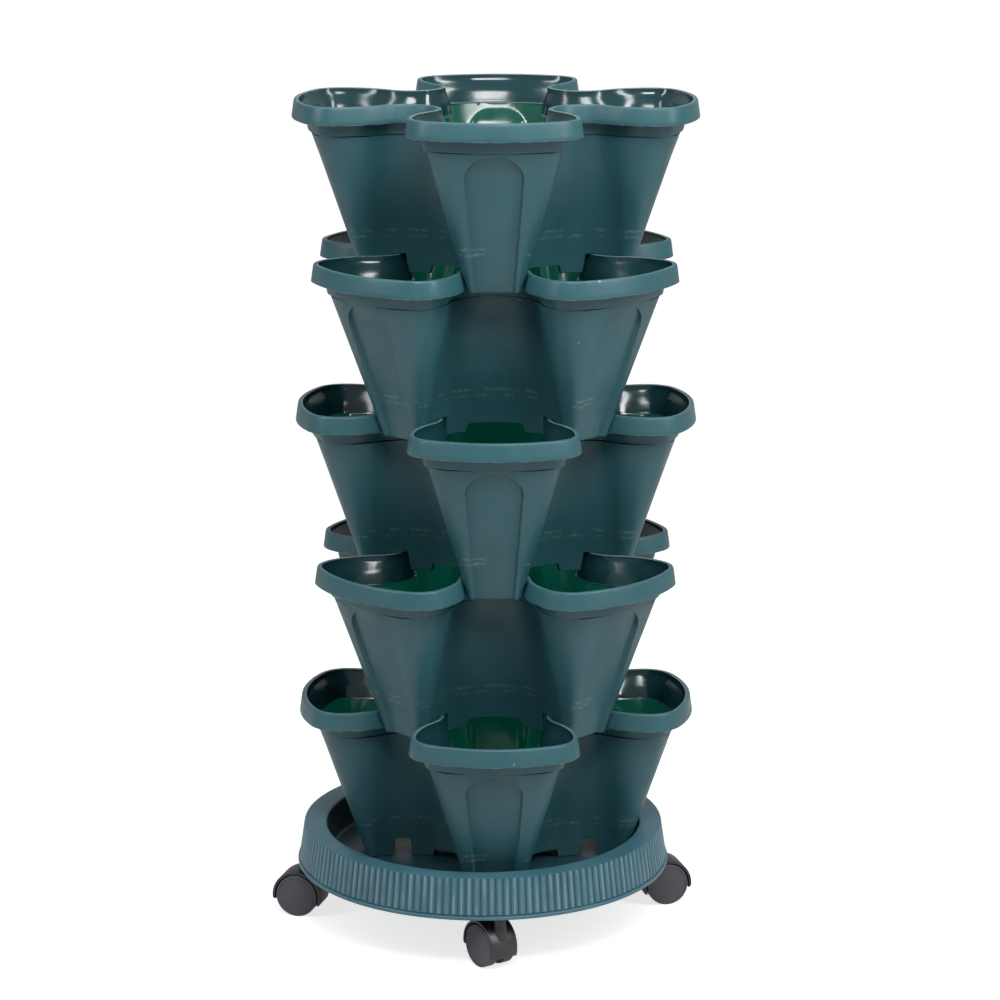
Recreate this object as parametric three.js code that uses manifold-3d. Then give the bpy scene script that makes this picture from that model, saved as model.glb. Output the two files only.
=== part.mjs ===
// Vertical planter tower: five four-petal pots, each turned an eighth of a
// turn from the one below, stacked on a round fluted saucer with four
// twin-wheel casters.
// Millimetres, +Z up. The origin is on the floor under the middle of the whole.

import * as THREE from 'three';
import { mergeVertices } from 'three/addons/utils/BufferGeometryUtils.js';
import Module from 'manifold-3d';

const wasm = await Module();
wasm.setup();

// Clearances
const restGap = 0.3; // between a piece and the face that it rests on
const runGap = 0.4; // beside a turning wheel and round a pin
const overrun = 2; // how far a cutting shape runs past the face that it cuts

// Colours and finishes
const potColour = 0x1f4a4c;
const saucerColour = 0x2f5d66;
const casterColour = 0x2e2d31;
const discColour = 0x45434a;
const steelColour = 0x9a9da1;

// Pot: the outline of one petal at the lower edge of the rim band.
// The petal's end is a wide arc, its corners are round, its flanks are long
// arcs, and an arc between two petals, centred on the diagonal, draws the pot
// in at the waist.
const petalsPerPot = 4;
const potCount = 5;
const petalReach = 170;
const petalHalfWidth = 71.4;
const petalCornerRadius = 28.5;
const petalCornerAhead = 38.5; // from the corner's centre to the petal's tip
const petalFlankRadius = 65;
const waistCentreAt = 73;

// Pot: the same outline at the foot, which nests between two petals of the rim
// below
const footReach = 113.5;
const footRoom = 1.5; // between the foot's side and those petals
const footCornerRadius = 3;
const footEndBulge = 0.8; // the end stands ahead of its corners
const footWaistCentreAt = 79;

// Pot: heights, measured from the foot unless the name says otherwise
const bodyHeight = 130; // foot to the lower edge of the rim band
const bandHeight = 14.9;
const potWall = 2.3;
const potFloor = 2.5;
const lipWall = 2.2; // the turned-down band
const rimDraft = 2.2; // the band leans in this much towards its top
const rimInset = 6.1; // inner edge of the rim's top face
const creaseDrop = 3.7; // the inner wall is upright this far down
const gutterDepth = 6; // hollow behind the band, up from its lower edge
const gutterInset = 6.2;
const gutterWaistShift = 1;
const collarInset = 13.3;
const collarDrop = 10;
const collarWaistShift = 3.5;
const shoulderInset = 16;
const shoulderDrop = 11.5;
const shoulderWaistShift = 5;
const ledgeRise = 1.6; // the ledge's inside above its underside

// Pot: foot slots that straddle the rim below, and the hub's notches
const slotHeight = 16.4;
const slotInnerRoom = 4.7; // inside the waist of the rim that it straddles
const slotInnerFlare = 2.4; // wider by this at the foot
const slotOuterRoom = 8.4;
const slotOuterFlare = 1.4;
const notchHeight = 8;
const notchTopWidth = 45;
const notchBottomWidth = 50;
const notchCorner = 4;

// Pot: arched recess on the outside of each petal
const archDrop = 13; // apex below the band
const archHalfWidth = 22.3;
const archFootHalfWidth = 14.5;
const archTopDepth = 3;
const archFootDepth = 4.8;

// Pot: drain holes in the floor
const hubHoleRadius = 4.5;
const petalHoleRadius = 3.5;
const petalHoleInset = 16; // from the foot's tip

// Casters
const casterNames = ['front', 'right', 'back', 'left'];
const casterTurnDegrees = 6.2; // the whole set is turned against the tower
const casterHeadings = [125, 15, 100, 165]; // degrees, where each one trails
const casterTrail = 14;
const wheelRadius = 18.5;
const wheelWidth = 9.2;
const wheelBevel = 1.1;
const axleRadius = 2;
const axleReach = 6; // how far the axle enters each wheel
const webWidth = 6.6;
const hoodGap = 1.3;
const hoodWall = 2.1;
const hoodTailDegrees = 8; // below the axle's level, on the trailing side
const hoodNoseDegrees = 20; // below the axle's level, on the stem side
const webDrop = 9; // the web between the wheels ends this far below the axle
const webFootHalf = 9;
const bossRadius = 4.9;
const bossFlareRadius = 7;
const bossRootDepth = 9; // the flared root's depth below the hood's top
const bossStand = 7.5; // above the hood's top
const stemRadius = 3;
const stemLength = 38;

// Saucer
const saucerOffset = [11.5, -2.2]; // the tower stands off the saucer's middle
const wellClearance = 19.5; // floor of the well beyond the pot's feet
const wellLean = 3.5; // the well opens this much towards its top
const rimWidth = 19.4; // the broad hollow rim
const fasciaLean = 4.6; // the fascia's foot stands out from its top
const fasciaHeight = 31;
const lipReach = 1.3; // the lip beyond the fascia's foot
const lipHeight = 3.2;
const grooveDepth = 1.1;
const grooveHeight = 1;
const fluteCount = 156;
const fluteDepth = 0.9;
const saucerWall = 2.5;
const saucerFloorRise = 3.8; // underside of the floor above the lip's edge
const rimRound = 2;
const rimFall = 1; // the broad rim slopes this much towards the well
const wellFillet = 3;
const socketInset = 8.9; // the stems' circle inside the fascia's top
const socketWall = 3.4;
const ribCount = 8;
const ribWidth = 2;
const ribHeight = 3.4;
const ribInnerRadius = 30;

// Facets: steps along each arc of an octant of the pot, and round turned parts
const outlineSteps = { tip: 2, corner: 2, flank: 2, waist: 3 };
const archSegments = 3;
const notchSegments = 1;
const saucerSegments = 36;
const wheelSegments = 16;
const pinSegments = 8;
const hoodSegments = 6;
const holeSegments = 6;

// Levels and radii that follow from the sizes above
const hoodRadius = wheelRadius + hoodGap + hoodWall;
const hoodTop = wheelRadius + hoodRadius;
const bossTop = hoodTop + bossStand;
const stemBottom = hoodTop - hoodWall;
const stemTop = stemBottom + stemLength;
const wellFootRadius = footReach + wellClearance;
const wellTopRadius = wellFootRadius + wellLean;
const fasciaTopRadius = wellTopRadius + rimWidth;
const fasciaFootRadius = fasciaTopRadius + fasciaLean;
const lipRadius = fasciaFootRadius + lipReach;
const grooveRadius = fasciaFootRadius - grooveDepth;
const casterCircle = fasciaTopRadius - socketInset;
const saucerBottom = bossTop + restGap;
const saucerFloorUnder = saucerBottom + saucerFloorRise;
const saucerFloorTop = saucerFloorUnder + saucerWall;
const fasciaBottom = saucerBottom + lipHeight + grooveHeight;
const fasciaTop = fasciaBottom + fasciaHeight;
const potHeight = bodyHeight + bandHeight;
const potPitch = potHeight - slotHeight + restGap;

function material(colour, roughness, metalness = 0) {
  return new THREE.MeshStandardMaterial({ color: colour, roughness, metalness });
}

// A closed solid from a geometry, for cutting and joining
function solid(geometry) {
  const bare = new THREE.BufferGeometry();
  bare.setAttribute('position', geometry.getAttribute('position'));
  bare.setIndex(geometry.getIndex());
  const merged = mergeVertices(bare);
  return new wasm.Manifold(new wasm.Mesh({
    numProp: 3,
    vertProperties: Float32Array.from(merged.getAttribute('position').array),
    triVerts: Uint32Array.from(merged.getIndex().array),
  }));
}

function geometryOf(body) {
  const mesh = body.getMesh();
  const geometry = new THREE.BufferGeometry();
  geometry.setAttribute('position', new THREE.BufferAttribute(mesh.vertProperties, 3));
  geometry.setIndex(new THREE.BufferAttribute(mesh.triVerts, 1));
  return geometry;
}

function subtractAll(body, tools) {
  return tools.reduce((rest, tool) => rest.subtract(tool), body);
}

function addAll(body, pieces) {
  return pieces.reduce((whole, piece) => whole.add(piece), body);
}

// A skin through rings of equal point counts, closed flat at both ends.
// Each ring is { points: [Vector2], z } and runs anticlockwise.
function loft(rings) {
  const count = rings[0].points.length;
  const positions = rings.flatMap(({ points, z }) => points.flatMap((p) => [p.x, p.y, z]));
  const index = [];
  for (let ring = 0; ring + 1 < rings.length; ring += 1) {
    for (let k = 0; k < count; k += 1) {
      const a = ring * count + k;
      const b = ring * count + ((k + 1) % count);
      index.push(a, b, b + count, a, b + count, a + count);
    }
  }
  const last = (rings.length - 1) * count;
  for (const [a, b, c] of THREE.ShapeUtils.triangulateShape(rings[0].points, [])) {
    index.push(a, c, b);
  }
  for (const [a, b, c] of THREE.ShapeUtils.triangulateShape(rings.at(-1).points, [])) {
    index.push(last + a, last + b, last + c);
  }
  const geometry = new THREE.BufferGeometry();
  geometry.setAttribute('position', new THREE.Float32BufferAttribute(positions, 3));
  geometry.setIndex(index);
  return geometry;
}

// Petal outline

function inset(section, distance) {
  return {
    ...section,
    reach: section.reach - distance,
    halfWidth: section.halfWidth - distance,
    cornerRadius: section.cornerRadius - distance,
    flankRadius: section.flankRadius - distance,
  };
}

// A step in from the rim's outline that is shallower at the waist
function rimStep(distance, waistShift) {
  const section = inset(rimSection, distance);
  return { ...section, waistAt: section.waistAt + waistShift };
}

function arcPoints(centre, radius, from, to, steps) {
  return Array.from({ length: steps }, (_, k) => {
    const angle = from + ((to - from) * k) / steps;
    return new THREE.Vector2(
      centre.x + radius * Math.cos(angle),
      centre.y + radius * Math.sin(angle),
    );
  });
}

// An eighth of the outline: end arc, corner arc, flank arc and waist arc, each
// tangent to the next, from the petal's tip on +X to the diagonal
function octant(section) {
  const steps = outlineSteps;
  const corner = new THREE.Vector2(
    section.cornerAt,
    section.halfWidth - section.cornerRadius,
  );
  const ahead = section.reach - section.cornerAt;
  const endRadius = (ahead ** 2 + corner.y ** 2 - section.cornerRadius ** 2)
    / (2 * (ahead - section.cornerRadius));
  const end = new THREE.Vector2(section.reach - endRadius, 0);
  const flank = new THREE.Vector2(
    section.cornerAt,
    section.halfWidth - section.flankRadius,
  );
  const waist = new THREE.Vector2(section.waistAt, section.waistAt);
  const waistRadius = flank.distanceTo(waist) - section.flankRadius;
  const toCorner = corner.clone().sub(end).angle();
  const toWaist = waist.clone().sub(flank).angle();
  return [
    ...arcPoints(end, endRadius, 0, toCorner, steps.tip),
    ...arcPoints(corner, section.cornerRadius, toCorner, Math.PI / 2, steps.corner),
    ...arcPoints(flank, section.flankRadius, Math.PI / 2, toWaist, steps.flank),
    ...arcPoints(waist, waistRadius, toWaist + Math.PI, Math.PI * 1.25, steps.waist),
    waist.clone().setLength(waist.length() - waistRadius),
  ];
}

function petalOutline(section) {
  const eighth = octant(section);
  const mirrored = eighth.slice(1, -1).reverse().map((p) => new THREE.Vector2(p.y, p.x));
  const quarter = [...eighth, ...mirrored];
  const origin = new THREE.Vector2();
  return Array.from({ length: petalsPerPot }, (_, turn) => quarter.map(
    (p) => p.clone().rotateAround(origin, (turn * Math.PI) / 2),
  )).flat();
}

function ring(section, z) {
  return { points: petalOutline(section), z };
}

const rimSection = {
  reach: petalReach,
  halfWidth: petalHalfWidth,
  cornerRadius: petalCornerRadius,
  flankRadius: petalFlankRadius,
  cornerAt: petalReach - petalCornerAhead,
  waistAt: waistCentreAt,
};

// From the diagonal to the nearest of the flanks on its two sides
const notchHalfWidth = (rimSection.cornerAt - petalHalfWidth + petalFlankRadius)
  / Math.SQRT2 - petalFlankRadius;
const footHalfWidth = notchHalfWidth - footRoom;
const footSection = {
  reach: footReach,
  halfWidth: footHalfWidth,
  cornerRadius: footCornerRadius,
  flankRadius: footCornerRadius,
  cornerAt: footReach - footCornerRadius - footEndBulge,
  waistAt: footWaistCentreAt,
};
const gutterSection = rimStep(gutterInset, gutterWaistShift);
const collarSection = rimStep(collarInset, collarWaistShift);
const shoulderSection = rimStep(shoulderInset, shoulderWaistShift);

// The slots straddle the waist of the rim below, at its nearest to the axis
const rimWaistReach = octant(rimSection).at(-1).length();
const slotInnerTop = rimWaistReach - slotInnerRoom;
const slotOuterTop = rimWaistReach + slotOuterRoom;

const shoulderHeight = bodyHeight - shoulderDrop;
const wallLean = Math.atan((shoulderSection.reach - footReach) / shoulderHeight);

// The tapering body's outline at one level, drawn in by a wall
function bodyRing(wall, z) {
  const foot = petalOutline(inset(footSection, wall));
  const shoulder = petalOutline(inset(shoulderSection, wall));
  const share = z / shoulderHeight;
  return { points: foot.map((p, k) => p.clone().lerp(shoulder[k], share)), z };
}

// Outside of the pot: tapering body, collar, the hollow behind the band, and
// the band itself
function potSkin() {
  return solid(loft([
    bodyRing(0, 0),
    bodyRing(0, shoulderHeight),
    ring(collarSection, bodyHeight - collarDrop),
    ring(gutterSection, bodyHeight + gutterDepth),
    ring(inset(rimSection, lipWall), bodyHeight),
    ring(rimSection, bodyHeight),
    ring(inset(rimSection, rimDraft), potHeight),
  ]));
}

// Inside of the pot above its floor: upright under the rim, then in over the
// collar's ledge, then parallel to the outside
function potCavity() {
  const floorTop = slotHeight + potFloor;
  return solid(loft([
    bodyRing(potWall, floorTop),
    bodyRing(potWall, shoulderHeight + ledgeRise),
    ring(inset(collarSection, potWall), bodyHeight - collarDrop + ledgeRise),
    ring(inset(rimSection, rimInset), potHeight - creaseDrop),
    ring(inset(rimSection, rimInset), potHeight + overrun),
  ]));
}

// Open space under the floor, inside the skirt
function skirtCavity() {
  return solid(loft([bodyRing(potWall, -overrun), bodyRing(potWall, slotHeight)]));
}

// An arch-shaped block that lies against a petal's leaning end wall. Its inner
// face is sunk deepest at the foot; grow widens the arch and sinks it further.
function archBlock(grow) {
  const depth = archFootDepth + grow;
  const lean = wallLean + Math.atan((archFootDepth - archTopDepth) / shoulderHeight);
  const half = archHalfWidth + grow;
  const footHalf = archFootHalfWidth + grow;
  const spring = (bodyHeight - archDrop) / Math.cos(lean) - archHalfWidth;
  const outline = new THREE.Shape();
  outline.moveTo(-footHalf, -overrun);
  outline.lineTo(footHalf, -overrun);
  outline.lineTo(half, spring);
  outline.absarc(0, spring, half, 0, Math.PI, false);
  outline.closePath();
  const block = new THREE.ExtrudeGeometry(outline, {
    depth: depth + bandHeight,
    bevelEnabled: false,
    curveSegments: archSegments,
  });
  const up = new THREE.Vector3(Math.sin(lean), 0, Math.cos(lean));
  const out = new THREE.Vector3(Math.cos(lean), 0, -Math.sin(lean));
  const across = new THREE.Vector3(0, 1, 0);
  const place = new THREE.Matrix4().makeBasis(across, up, out);
  place.setPosition(out.clone().multiplyScalar(-depth).setX(footReach - depth * out.x));
  return block.applyMatrix4(place);
}

// Trapezoid across one petal's foot, where it straddles the rim below
function slotBlock() {
  const slope = (low, high, z) => low + ((high - low) * z) / slotHeight;
  const outline = new THREE.Shape([
    new THREE.Vector2(slope(slotInnerTop - slotInnerFlare, slotInnerTop, -overrun), -overrun),
    new THREE.Vector2(slope(slotOuterTop + slotOuterFlare, slotOuterTop, -overrun), -overrun),
    new THREE.Vector2(slotOuterTop, slotHeight),
    new THREE.Vector2(slotInnerTop, slotHeight),
  ]);
  const width = 2 * (footHalfWidth + overrun);
  const block = new THREE.ExtrudeGeometry(outline, { depth: width, bevelEnabled: false });
  block.rotateX(Math.PI / 2);
  return block.translate(0, width / 2, 0);
}

// Round-cornered opening in the lower edge of the hub's wall
function notchBlock() {
  const topHalf = notchTopWidth / 2;
  const bottomHalf = notchBottomWidth / 2;
  const outline = new THREE.Shape();
  outline.moveTo(-bottomHalf, -overrun);
  outline.lineTo(bottomHalf, -overrun);
  outline.lineTo(topHalf, notchHeight - notchCorner);
  outline.quadraticCurveTo(topHalf, notchHeight, topHalf - notchCorner, notchHeight);
  outline.lineTo(notchCorner - topHalf, notchHeight);
  outline.quadraticCurveTo(-topHalf, notchHeight, -topHalf, notchHeight - notchCorner);
  outline.closePath();
  const reach = footWaistCentreAt;
  const block = new THREE.ExtrudeGeometry(outline, {
    depth: reach,
    bevelEnabled: false,
    curveSegments: notchSegments,
  });
  block.rotateX(Math.PI / 2);
  block.rotateZ(Math.PI / 2);
  return block.rotateZ(Math.PI / petalsPerPot);
}

function floorHole(radius, distance, angle) {
  const drill = new THREE.CylinderGeometry(
    radius,
    radius,
    potFloor + 2 * overrun,
    holeSegments,
  );
  drill.rotateX(Math.PI / 2);
  drill.translate(distance, 0, slotHeight + potFloor / 2);
  return drill.rotateZ(angle);
}

function buildPotGeometry() {
  const turns = Array.from({ length: petalsPerPot }, (_, k) => (k * Math.PI) / 2);
  const around = (make) => turns.map((turn) => solid(make().rotateZ(turn)));
  const bumps = around(() => archBlock(potWall));
  const holes = [
    solid(floorHole(hubHoleRadius, 0, 0)),
    ...around(() => floorHole(petalHoleRadius, footReach - petalHoleInset, 0)),
  ];
  return geometryOf(subtractAll(potSkin(), [
    ...around(() => archBlock(0)),
    subtractAll(potCavity(), bumps),
    subtractAll(skirtCavity(), bumps),
    ...around(slotBlock),
    ...around(notchBlock),
    ...holes,
  ]));
}

function buildPots(group) {
  const shared = buildPotGeometry();
  for (let number = 1; number <= potCount; number += 1) {
    const pot = new THREE.Mesh(shared.clone(), material(potColour, 0.45));
    pot.name = `pot_${number}`;
    const storey = potCount - number;
    pot.position.set(
      ...saucerOffset,
      saucerFloorTop + restGap + storey * potPitch,
    );
    pot.rotation.z = (storey % 2) * (Math.PI / petalsPerPot);
    group.add(pot);
  }
}

// Saucer

// A turned body from a closed profile of [radius, height] points
function turned(profile, segments) {
  const points = profile.map(([radius, z]) => new THREE.Vector2(radius, z));
  points.push(points[0].clone());
  return new THREE.LatheGeometry(points, segments).rotateX(Math.PI / 2);
}

function saucerShell() {
  const baseTop = fasciaTopRadius - fluteDepth;
  return solid(turned([
    [0, saucerFloorUnder],
    [wellFootRadius, saucerFloorUnder],
    [wellTopRadius + saucerWall, fasciaTop - rimFall - saucerWall],
    [baseTop - saucerWall, fasciaTop - saucerWall],
    [lipRadius - saucerWall, saucerBottom + lipHeight],
    [lipRadius - saucerWall, saucerBottom],
    [lipRadius, saucerBottom],
    [lipRadius, saucerBottom + lipHeight],
    [grooveRadius, saucerBottom + lipHeight],
    [baseTop - rimRound / 2, fasciaTop - rimRound],
    [baseTop - rimRound, fasciaTop],
    [wellTopRadius + rimRound, fasciaTop - rimFall],
    [wellTopRadius, fasciaTop - rimFall - rimRound],
    [wellFootRadius, saucerFloorTop + wellFillet],
    [wellFootRadius - wellFillet, saucerFloorTop],
    [0, saucerFloorTop],
  ], saucerSegments));
}

// Upright flutes round the fascia: a ridge and a groove in turn, on a tapering
// ring whose inner side lies within the shell's wall
function flutedBand() {
  const height = fasciaHeight - rimRound;
  const toothed = (radius, z) => ({
    points: Array.from({ length: fluteCount * 2 }, (_, k) => {
      const angle = (k * Math.PI) / fluteCount;
      const r = k % 2 === 0 ? radius : radius - fluteDepth;
      return new THREE.Vector2(r * Math.cos(angle), r * Math.sin(angle));
    }),
    z,
  });
  const disc = solid(loft([
    toothed(fasciaFootRadius, fasciaBottom),
    toothed(fasciaTopRadius, fasciaBottom + height),
  ]));
  const core = new THREE.CylinderGeometry(
    fasciaTopRadius - fluteDepth - saucerWall / 2,
    fasciaFootRadius - fluteDepth - saucerWall / 2,
    height,
    saucerSegments,
  );
  core.rotateX(Math.PI / 2).translate(0, 0, fasciaBottom + height / 2);
  return disc.subtract(solid(core));
}

function casterPlace(index) {
  const pitch = (2 * Math.PI) / casterNames.length;
  const angle = THREE.MathUtils.degToRad(casterTurnDegrees) + pitch * (index - 1);
  return new THREE.Vector2(
    casterCircle * Math.cos(angle),
    casterCircle * Math.sin(angle),
  );
}

// The blind socket that takes a caster's stem, up inside the hollow rim
function casterSocket(index) {
  const { x, y } = casterPlace(index);
  const height = fasciaTop - rimFall - saucerWall / 2 - saucerBottom;
  const post = new THREE.CylinderGeometry(
    stemRadius + socketWall,
    stemRadius + socketWall,
    height,
    pinSegments,
  );
  post.rotateX(Math.PI / 2).translate(x, y, saucerBottom + height / 2);
  return solid(post);
}

function casterBore(index) {
  const { x, y } = casterPlace(index);
  const depth = stemTop + restGap - saucerBottom + overrun;
  const bore = new THREE.CylinderGeometry(
    stemRadius + runGap,
    stemRadius + runGap,
    depth,
    pinSegments,
  );
  bore.rotateX(Math.PI / 2).translate(x, y, saucerBottom - overrun + depth / 2);
  return solid(bore);
}

function floorRib(index) {
  const length = wellFootRadius - ribInnerRadius;
  const height = ribHeight + saucerWall / 2;
  const rib = new THREE.BoxGeometry(length, ribWidth, height);
  rib.translate(ribInnerRadius + length / 2, 0, saucerFloorUnder - ribHeight + height / 2);
  return solid(rib.rotateZ((index * 2 * Math.PI) / ribCount));
}

function buildSaucer(group) {
  const sockets = casterNames.map((_, k) => casterSocket(k));
  const ribs = Array.from({ length: ribCount }, (_, k) => floorRib(k));
  const body = addAll(saucerShell(), [flutedBand(), ...sockets, ...ribs]);
  const bores = casterNames.map((_, k) => casterBore(k));
  const saucer = new THREE.Mesh(
    geometryOf(subtractAll(body, bores)),
    material(saucerColour, 0.5),
  );
  saucer.name = 'saucer';
  group.add(saucer);
}

// Casters, each in its own frame: the stem stands on the origin, the wheels
// trail along +X and their axle lies along Y

// The wheel's tread stands on a facet, so that its lowest face lies on the floor
function wheelGeometry() {
  const step = Math.PI / wheelSegments;
  const rim = wheelRadius / Math.cos(step);
  const inner = -wheelWidth / 2;
  const outer = wheelWidth / 2;
  const bore = axleRadius + runGap;
  const blind = inner + axleReach + restGap;
  return turned([
    [0, blind],
    [bore, blind],
    [bore, inner],
    [rim, inner],
    [rim, outer - wheelBevel],
    [rim - wheelBevel, outer],
    [0, outer],
  ], wheelSegments).rotateZ(step);
}

// Side view of the hood and web, drawn round the axle
function hoodOutline(radius, noseDegrees, tailDegrees) {
  const nose = THREE.MathUtils.degToRad(180 + noseDegrees);
  const tail = THREE.MathUtils.degToRad(-tailDegrees);
  const outline = new THREE.Shape();
  outline.absarc(0, 0, radius, tail, nose, false);
  outline.lineTo(-webFootHalf, -webDrop);
  outline.lineTo(webFootHalf, -webDrop);
  outline.closePath();
  return outline;
}

function slab(outline, width) {
  const block = new THREE.ExtrudeGeometry(outline, {
    depth: width,
    bevelEnabled: false,
    curveSegments: hoodSegments,
  });
  block.rotateX(Math.PI / 2).translate(0, width / 2, 0);
  return block.translate(casterTrail, 0, wheelRadius);
}

// The well that one wheel runs in, cut into the hood from its side
function wheelWell(side) {
  const width = wheelWidth + 2 * runGap + overrun;
  const radius = wheelRadius + hoodGap;
  const well = new THREE.CylinderGeometry(radius, radius, width, 2 * hoodSegments);
  well.translate(casterTrail, side * (webWidth / 2 + width / 2), wheelRadius);
  return solid(well);
}

function hoodGeometry() {
  const fullWidth = webWidth + 2 * (wheelWidth + runGap);
  const body = solid(slab(
    hoodOutline(hoodRadius, hoodNoseDegrees, hoodTailDegrees),
    fullWidth,
  ));
  const flareBottom = hoodTop - bossRootDepth;
  const boss = turned([
    [0, flareBottom],
    [bossFlareRadius, flareBottom],
    [bossRadius, hoodTop],
    [bossRadius, bossTop],
    [0, bossTop],
  ], pinSegments);
  const bore = new THREE.CylinderGeometry(
    stemRadius + restGap,
    stemRadius + restGap,
    bossTop - stemBottom + overrun,
    pinSegments,
  );
  bore.rotateX(Math.PI / 2);
  bore.translate(0, 0, stemBottom - restGap + (bossTop - stemBottom + overrun) / 2);
  const axleHole = new THREE.CylinderGeometry(
    axleRadius + restGap,
    axleRadius + restGap,
    webWidth + 2 * overrun,
    pinSegments,
  );
  axleHole.translate(casterTrail, 0, wheelRadius);
  return geometryOf(subtractAll(body.add(solid(boss)), [
    wheelWell(1),
    wheelWell(-1),
    solid(bore),
    solid(axleHole),
  ]));
}

function named(name, geometry, finish) {
  const mesh = new THREE.Mesh(geometry, finish);
  mesh.name = name;
  return mesh;
}

function buildCaster(group, name, index) {
  const caster = new THREE.Group();
  const { x, y } = casterPlace(index);
  caster.position.set(x, y, 0);
  caster.rotation.z = THREE.MathUtils.degToRad(casterHeadings[index]);

  caster.add(named(`${name}_caster_hood`, hoodGeometry(), material(casterColour, 0.5)));

  const stem = new THREE.CylinderGeometry(stemRadius, stemRadius, stemLength, pinSegments);
  stem.rotateX(Math.PI / 2).translate(0, 0, stemBottom + stemLength / 2);
  caster.add(named(`${name}_caster_stem`, stem, material(steelColour, 0.3, 1)));

  const axleLength = webWidth + 2 * (runGap + axleReach);
  const axle = new THREE.CylinderGeometry(axleRadius, axleRadius, axleLength, pinSegments);
  axle.translate(casterTrail, 0, wheelRadius);
  caster.add(named(`${name}_caster_axle`, axle, material(steelColour, 0.3, 1)));

  for (const [label, side] of [['near', -1], ['far', 1]]) {
    const finish = material(discColour, 0.6);
    const wheel = named(`${name}_caster_${label}_wheel`, wheelGeometry(), finish);
    wheel.rotation.x = (-side * Math.PI) / 2;
    wheel.position.set(
      casterTrail,
      side * (webWidth / 2 + runGap + wheelWidth / 2),
      wheelRadius,
    );
    caster.add(wheel);
  }
  group.add(caster);
}

const tower = new THREE.Group();
buildSaucer(tower);
casterNames.forEach((name, index) => buildCaster(tower, name, index));
buildPots(tower);

const middle = new THREE.Box3().setFromObject(tower, true).getCenter(new THREE.Vector3());
tower.position.set(-middle.x, -middle.y, 0);

export default tower;
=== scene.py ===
"""Looks of a vertical planter tower.

Five satin four-petal pots stand on each other, each turned an eighth of a turn
from the one below, on a reeded saucer with four twin-wheel casters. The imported
frame says where every piece stands. Each class below holds the sizes of one
sub-assembly, builds its meshes in metres and dresses them.
"""

import logging
import math
from dataclasses import dataclass, field, replace
from enum import Enum
from typing import Iterable, Sequence

import bmesh
import bpy
from mathutils import Matrix, Vector
from mathutils.bvhtree import BVHTree


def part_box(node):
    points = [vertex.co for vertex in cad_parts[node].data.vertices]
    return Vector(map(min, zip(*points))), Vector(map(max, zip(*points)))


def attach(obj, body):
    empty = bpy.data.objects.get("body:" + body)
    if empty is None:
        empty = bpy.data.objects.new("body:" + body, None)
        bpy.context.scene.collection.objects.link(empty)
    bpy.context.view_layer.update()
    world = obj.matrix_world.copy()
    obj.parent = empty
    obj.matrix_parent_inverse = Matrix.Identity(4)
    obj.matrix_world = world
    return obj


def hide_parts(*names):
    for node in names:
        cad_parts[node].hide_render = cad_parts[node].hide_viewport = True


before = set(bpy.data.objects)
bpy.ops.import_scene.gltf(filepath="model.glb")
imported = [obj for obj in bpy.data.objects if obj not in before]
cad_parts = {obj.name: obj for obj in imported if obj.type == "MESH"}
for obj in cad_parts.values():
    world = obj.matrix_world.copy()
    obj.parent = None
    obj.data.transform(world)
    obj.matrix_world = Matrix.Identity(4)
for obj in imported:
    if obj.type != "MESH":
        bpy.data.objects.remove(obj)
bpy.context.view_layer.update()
LOG = logging.getLogger("planter_tower")

Rgb = tuple[float, float, float]
Profile = list[tuple[float, float]]
FULL_TURN = 2 * math.pi
WELD = 1e-6


class Slot(Enum):
    """The names of the material slots."""

    POT = "pot_plastic"
    SAUCER = "saucer_plastic"
    CASTER = "caster_plastic"
    WHEEL = "wheel_plastic"


class Cut(Enum):
    """How one solid acts on another."""

    JOIN = "UNION"
    REMOVE = "DIFFERENCE"


# Meshes


def linked(name: str, data: bpy.types.ID) -> bpy.types.Object:
    """Makes an object of a mesh, lamp or camera and links it to the scene."""
    made = bpy.data.objects.new(name, data)
    bpy.context.scene.collection.objects.link(made)
    return made


def discard(*tools: bpy.types.Object) -> None:
    """Deletes objects that were only tools."""
    for tool in tools:
        bpy.data.objects.remove(tool)


def mesh_object(
    name: str, points: Iterable[Sequence[float]], faces: Iterable[Sequence[int]],
) -> bpy.types.Object:
    """Makes an object from points and faces.

    Args:
        name: The object's name.
        points: The vertices, in metres.
        faces: The faces, as vertex numbers.

    Returns:
        The new object.
    """
    mesh = bpy.data.meshes.new(name)
    mesh.from_pydata([tuple(point) for point in points], [], [tuple(face) for face in faces])
    mesh.validate()
    return linked(name, mesh)


def outward(piece: bpy.types.Object) -> bpy.types.Object:
    """Merges a mesh's doubles and turns its faces outwards."""
    work = bmesh.new()
    work.from_mesh(piece.data)
    bmesh.ops.remove_doubles(work, verts=work.verts, dist=WELD)
    bmesh.ops.recalc_face_normals(work, faces=work.faces)
    work.to_mesh(piece.data)
    work.free()
    return piece


def smooth(piece: bpy.types.Object, degrees: float) -> bpy.types.Object:
    """Shades a mesh smooth, but for edges sharper than an angle."""
    piece.data.shade_smooth()
    piece.data.set_sharp_from_angle(angle=math.radians(degrees))
    return piece


def plain_mesh(piece: bpy.types.Object) -> bpy.types.Object:
    """Bakes an object's modifiers into its mesh and removes them."""
    graph = bpy.context.evaluated_depsgraph_get()
    result = bpy.data.meshes.new_from_object(piece.evaluated_get(graph))
    piece.modifiers.clear()
    piece.data = result
    return piece


def cut(piece: bpy.types.Object, tool: bpy.types.Object, how: Cut) -> bpy.types.Object:
    """Joins a tool to a piece, or removes it from the piece, and deletes the tool.

    Args:
        piece: The solid that is kept.
        tool: The solid that acts on it.
        how: Whether the tool is joined or removed.

    Returns:
        The piece, with a plain mesh.
    """
    modifier = piece.modifiers.new(how.name, "BOOLEAN")
    modifier.operation = how.value
    modifier.object = tool
    modifier.solver = "EXACT"
    plain_mesh(piece)
    discard(tool)
    return piece


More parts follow.
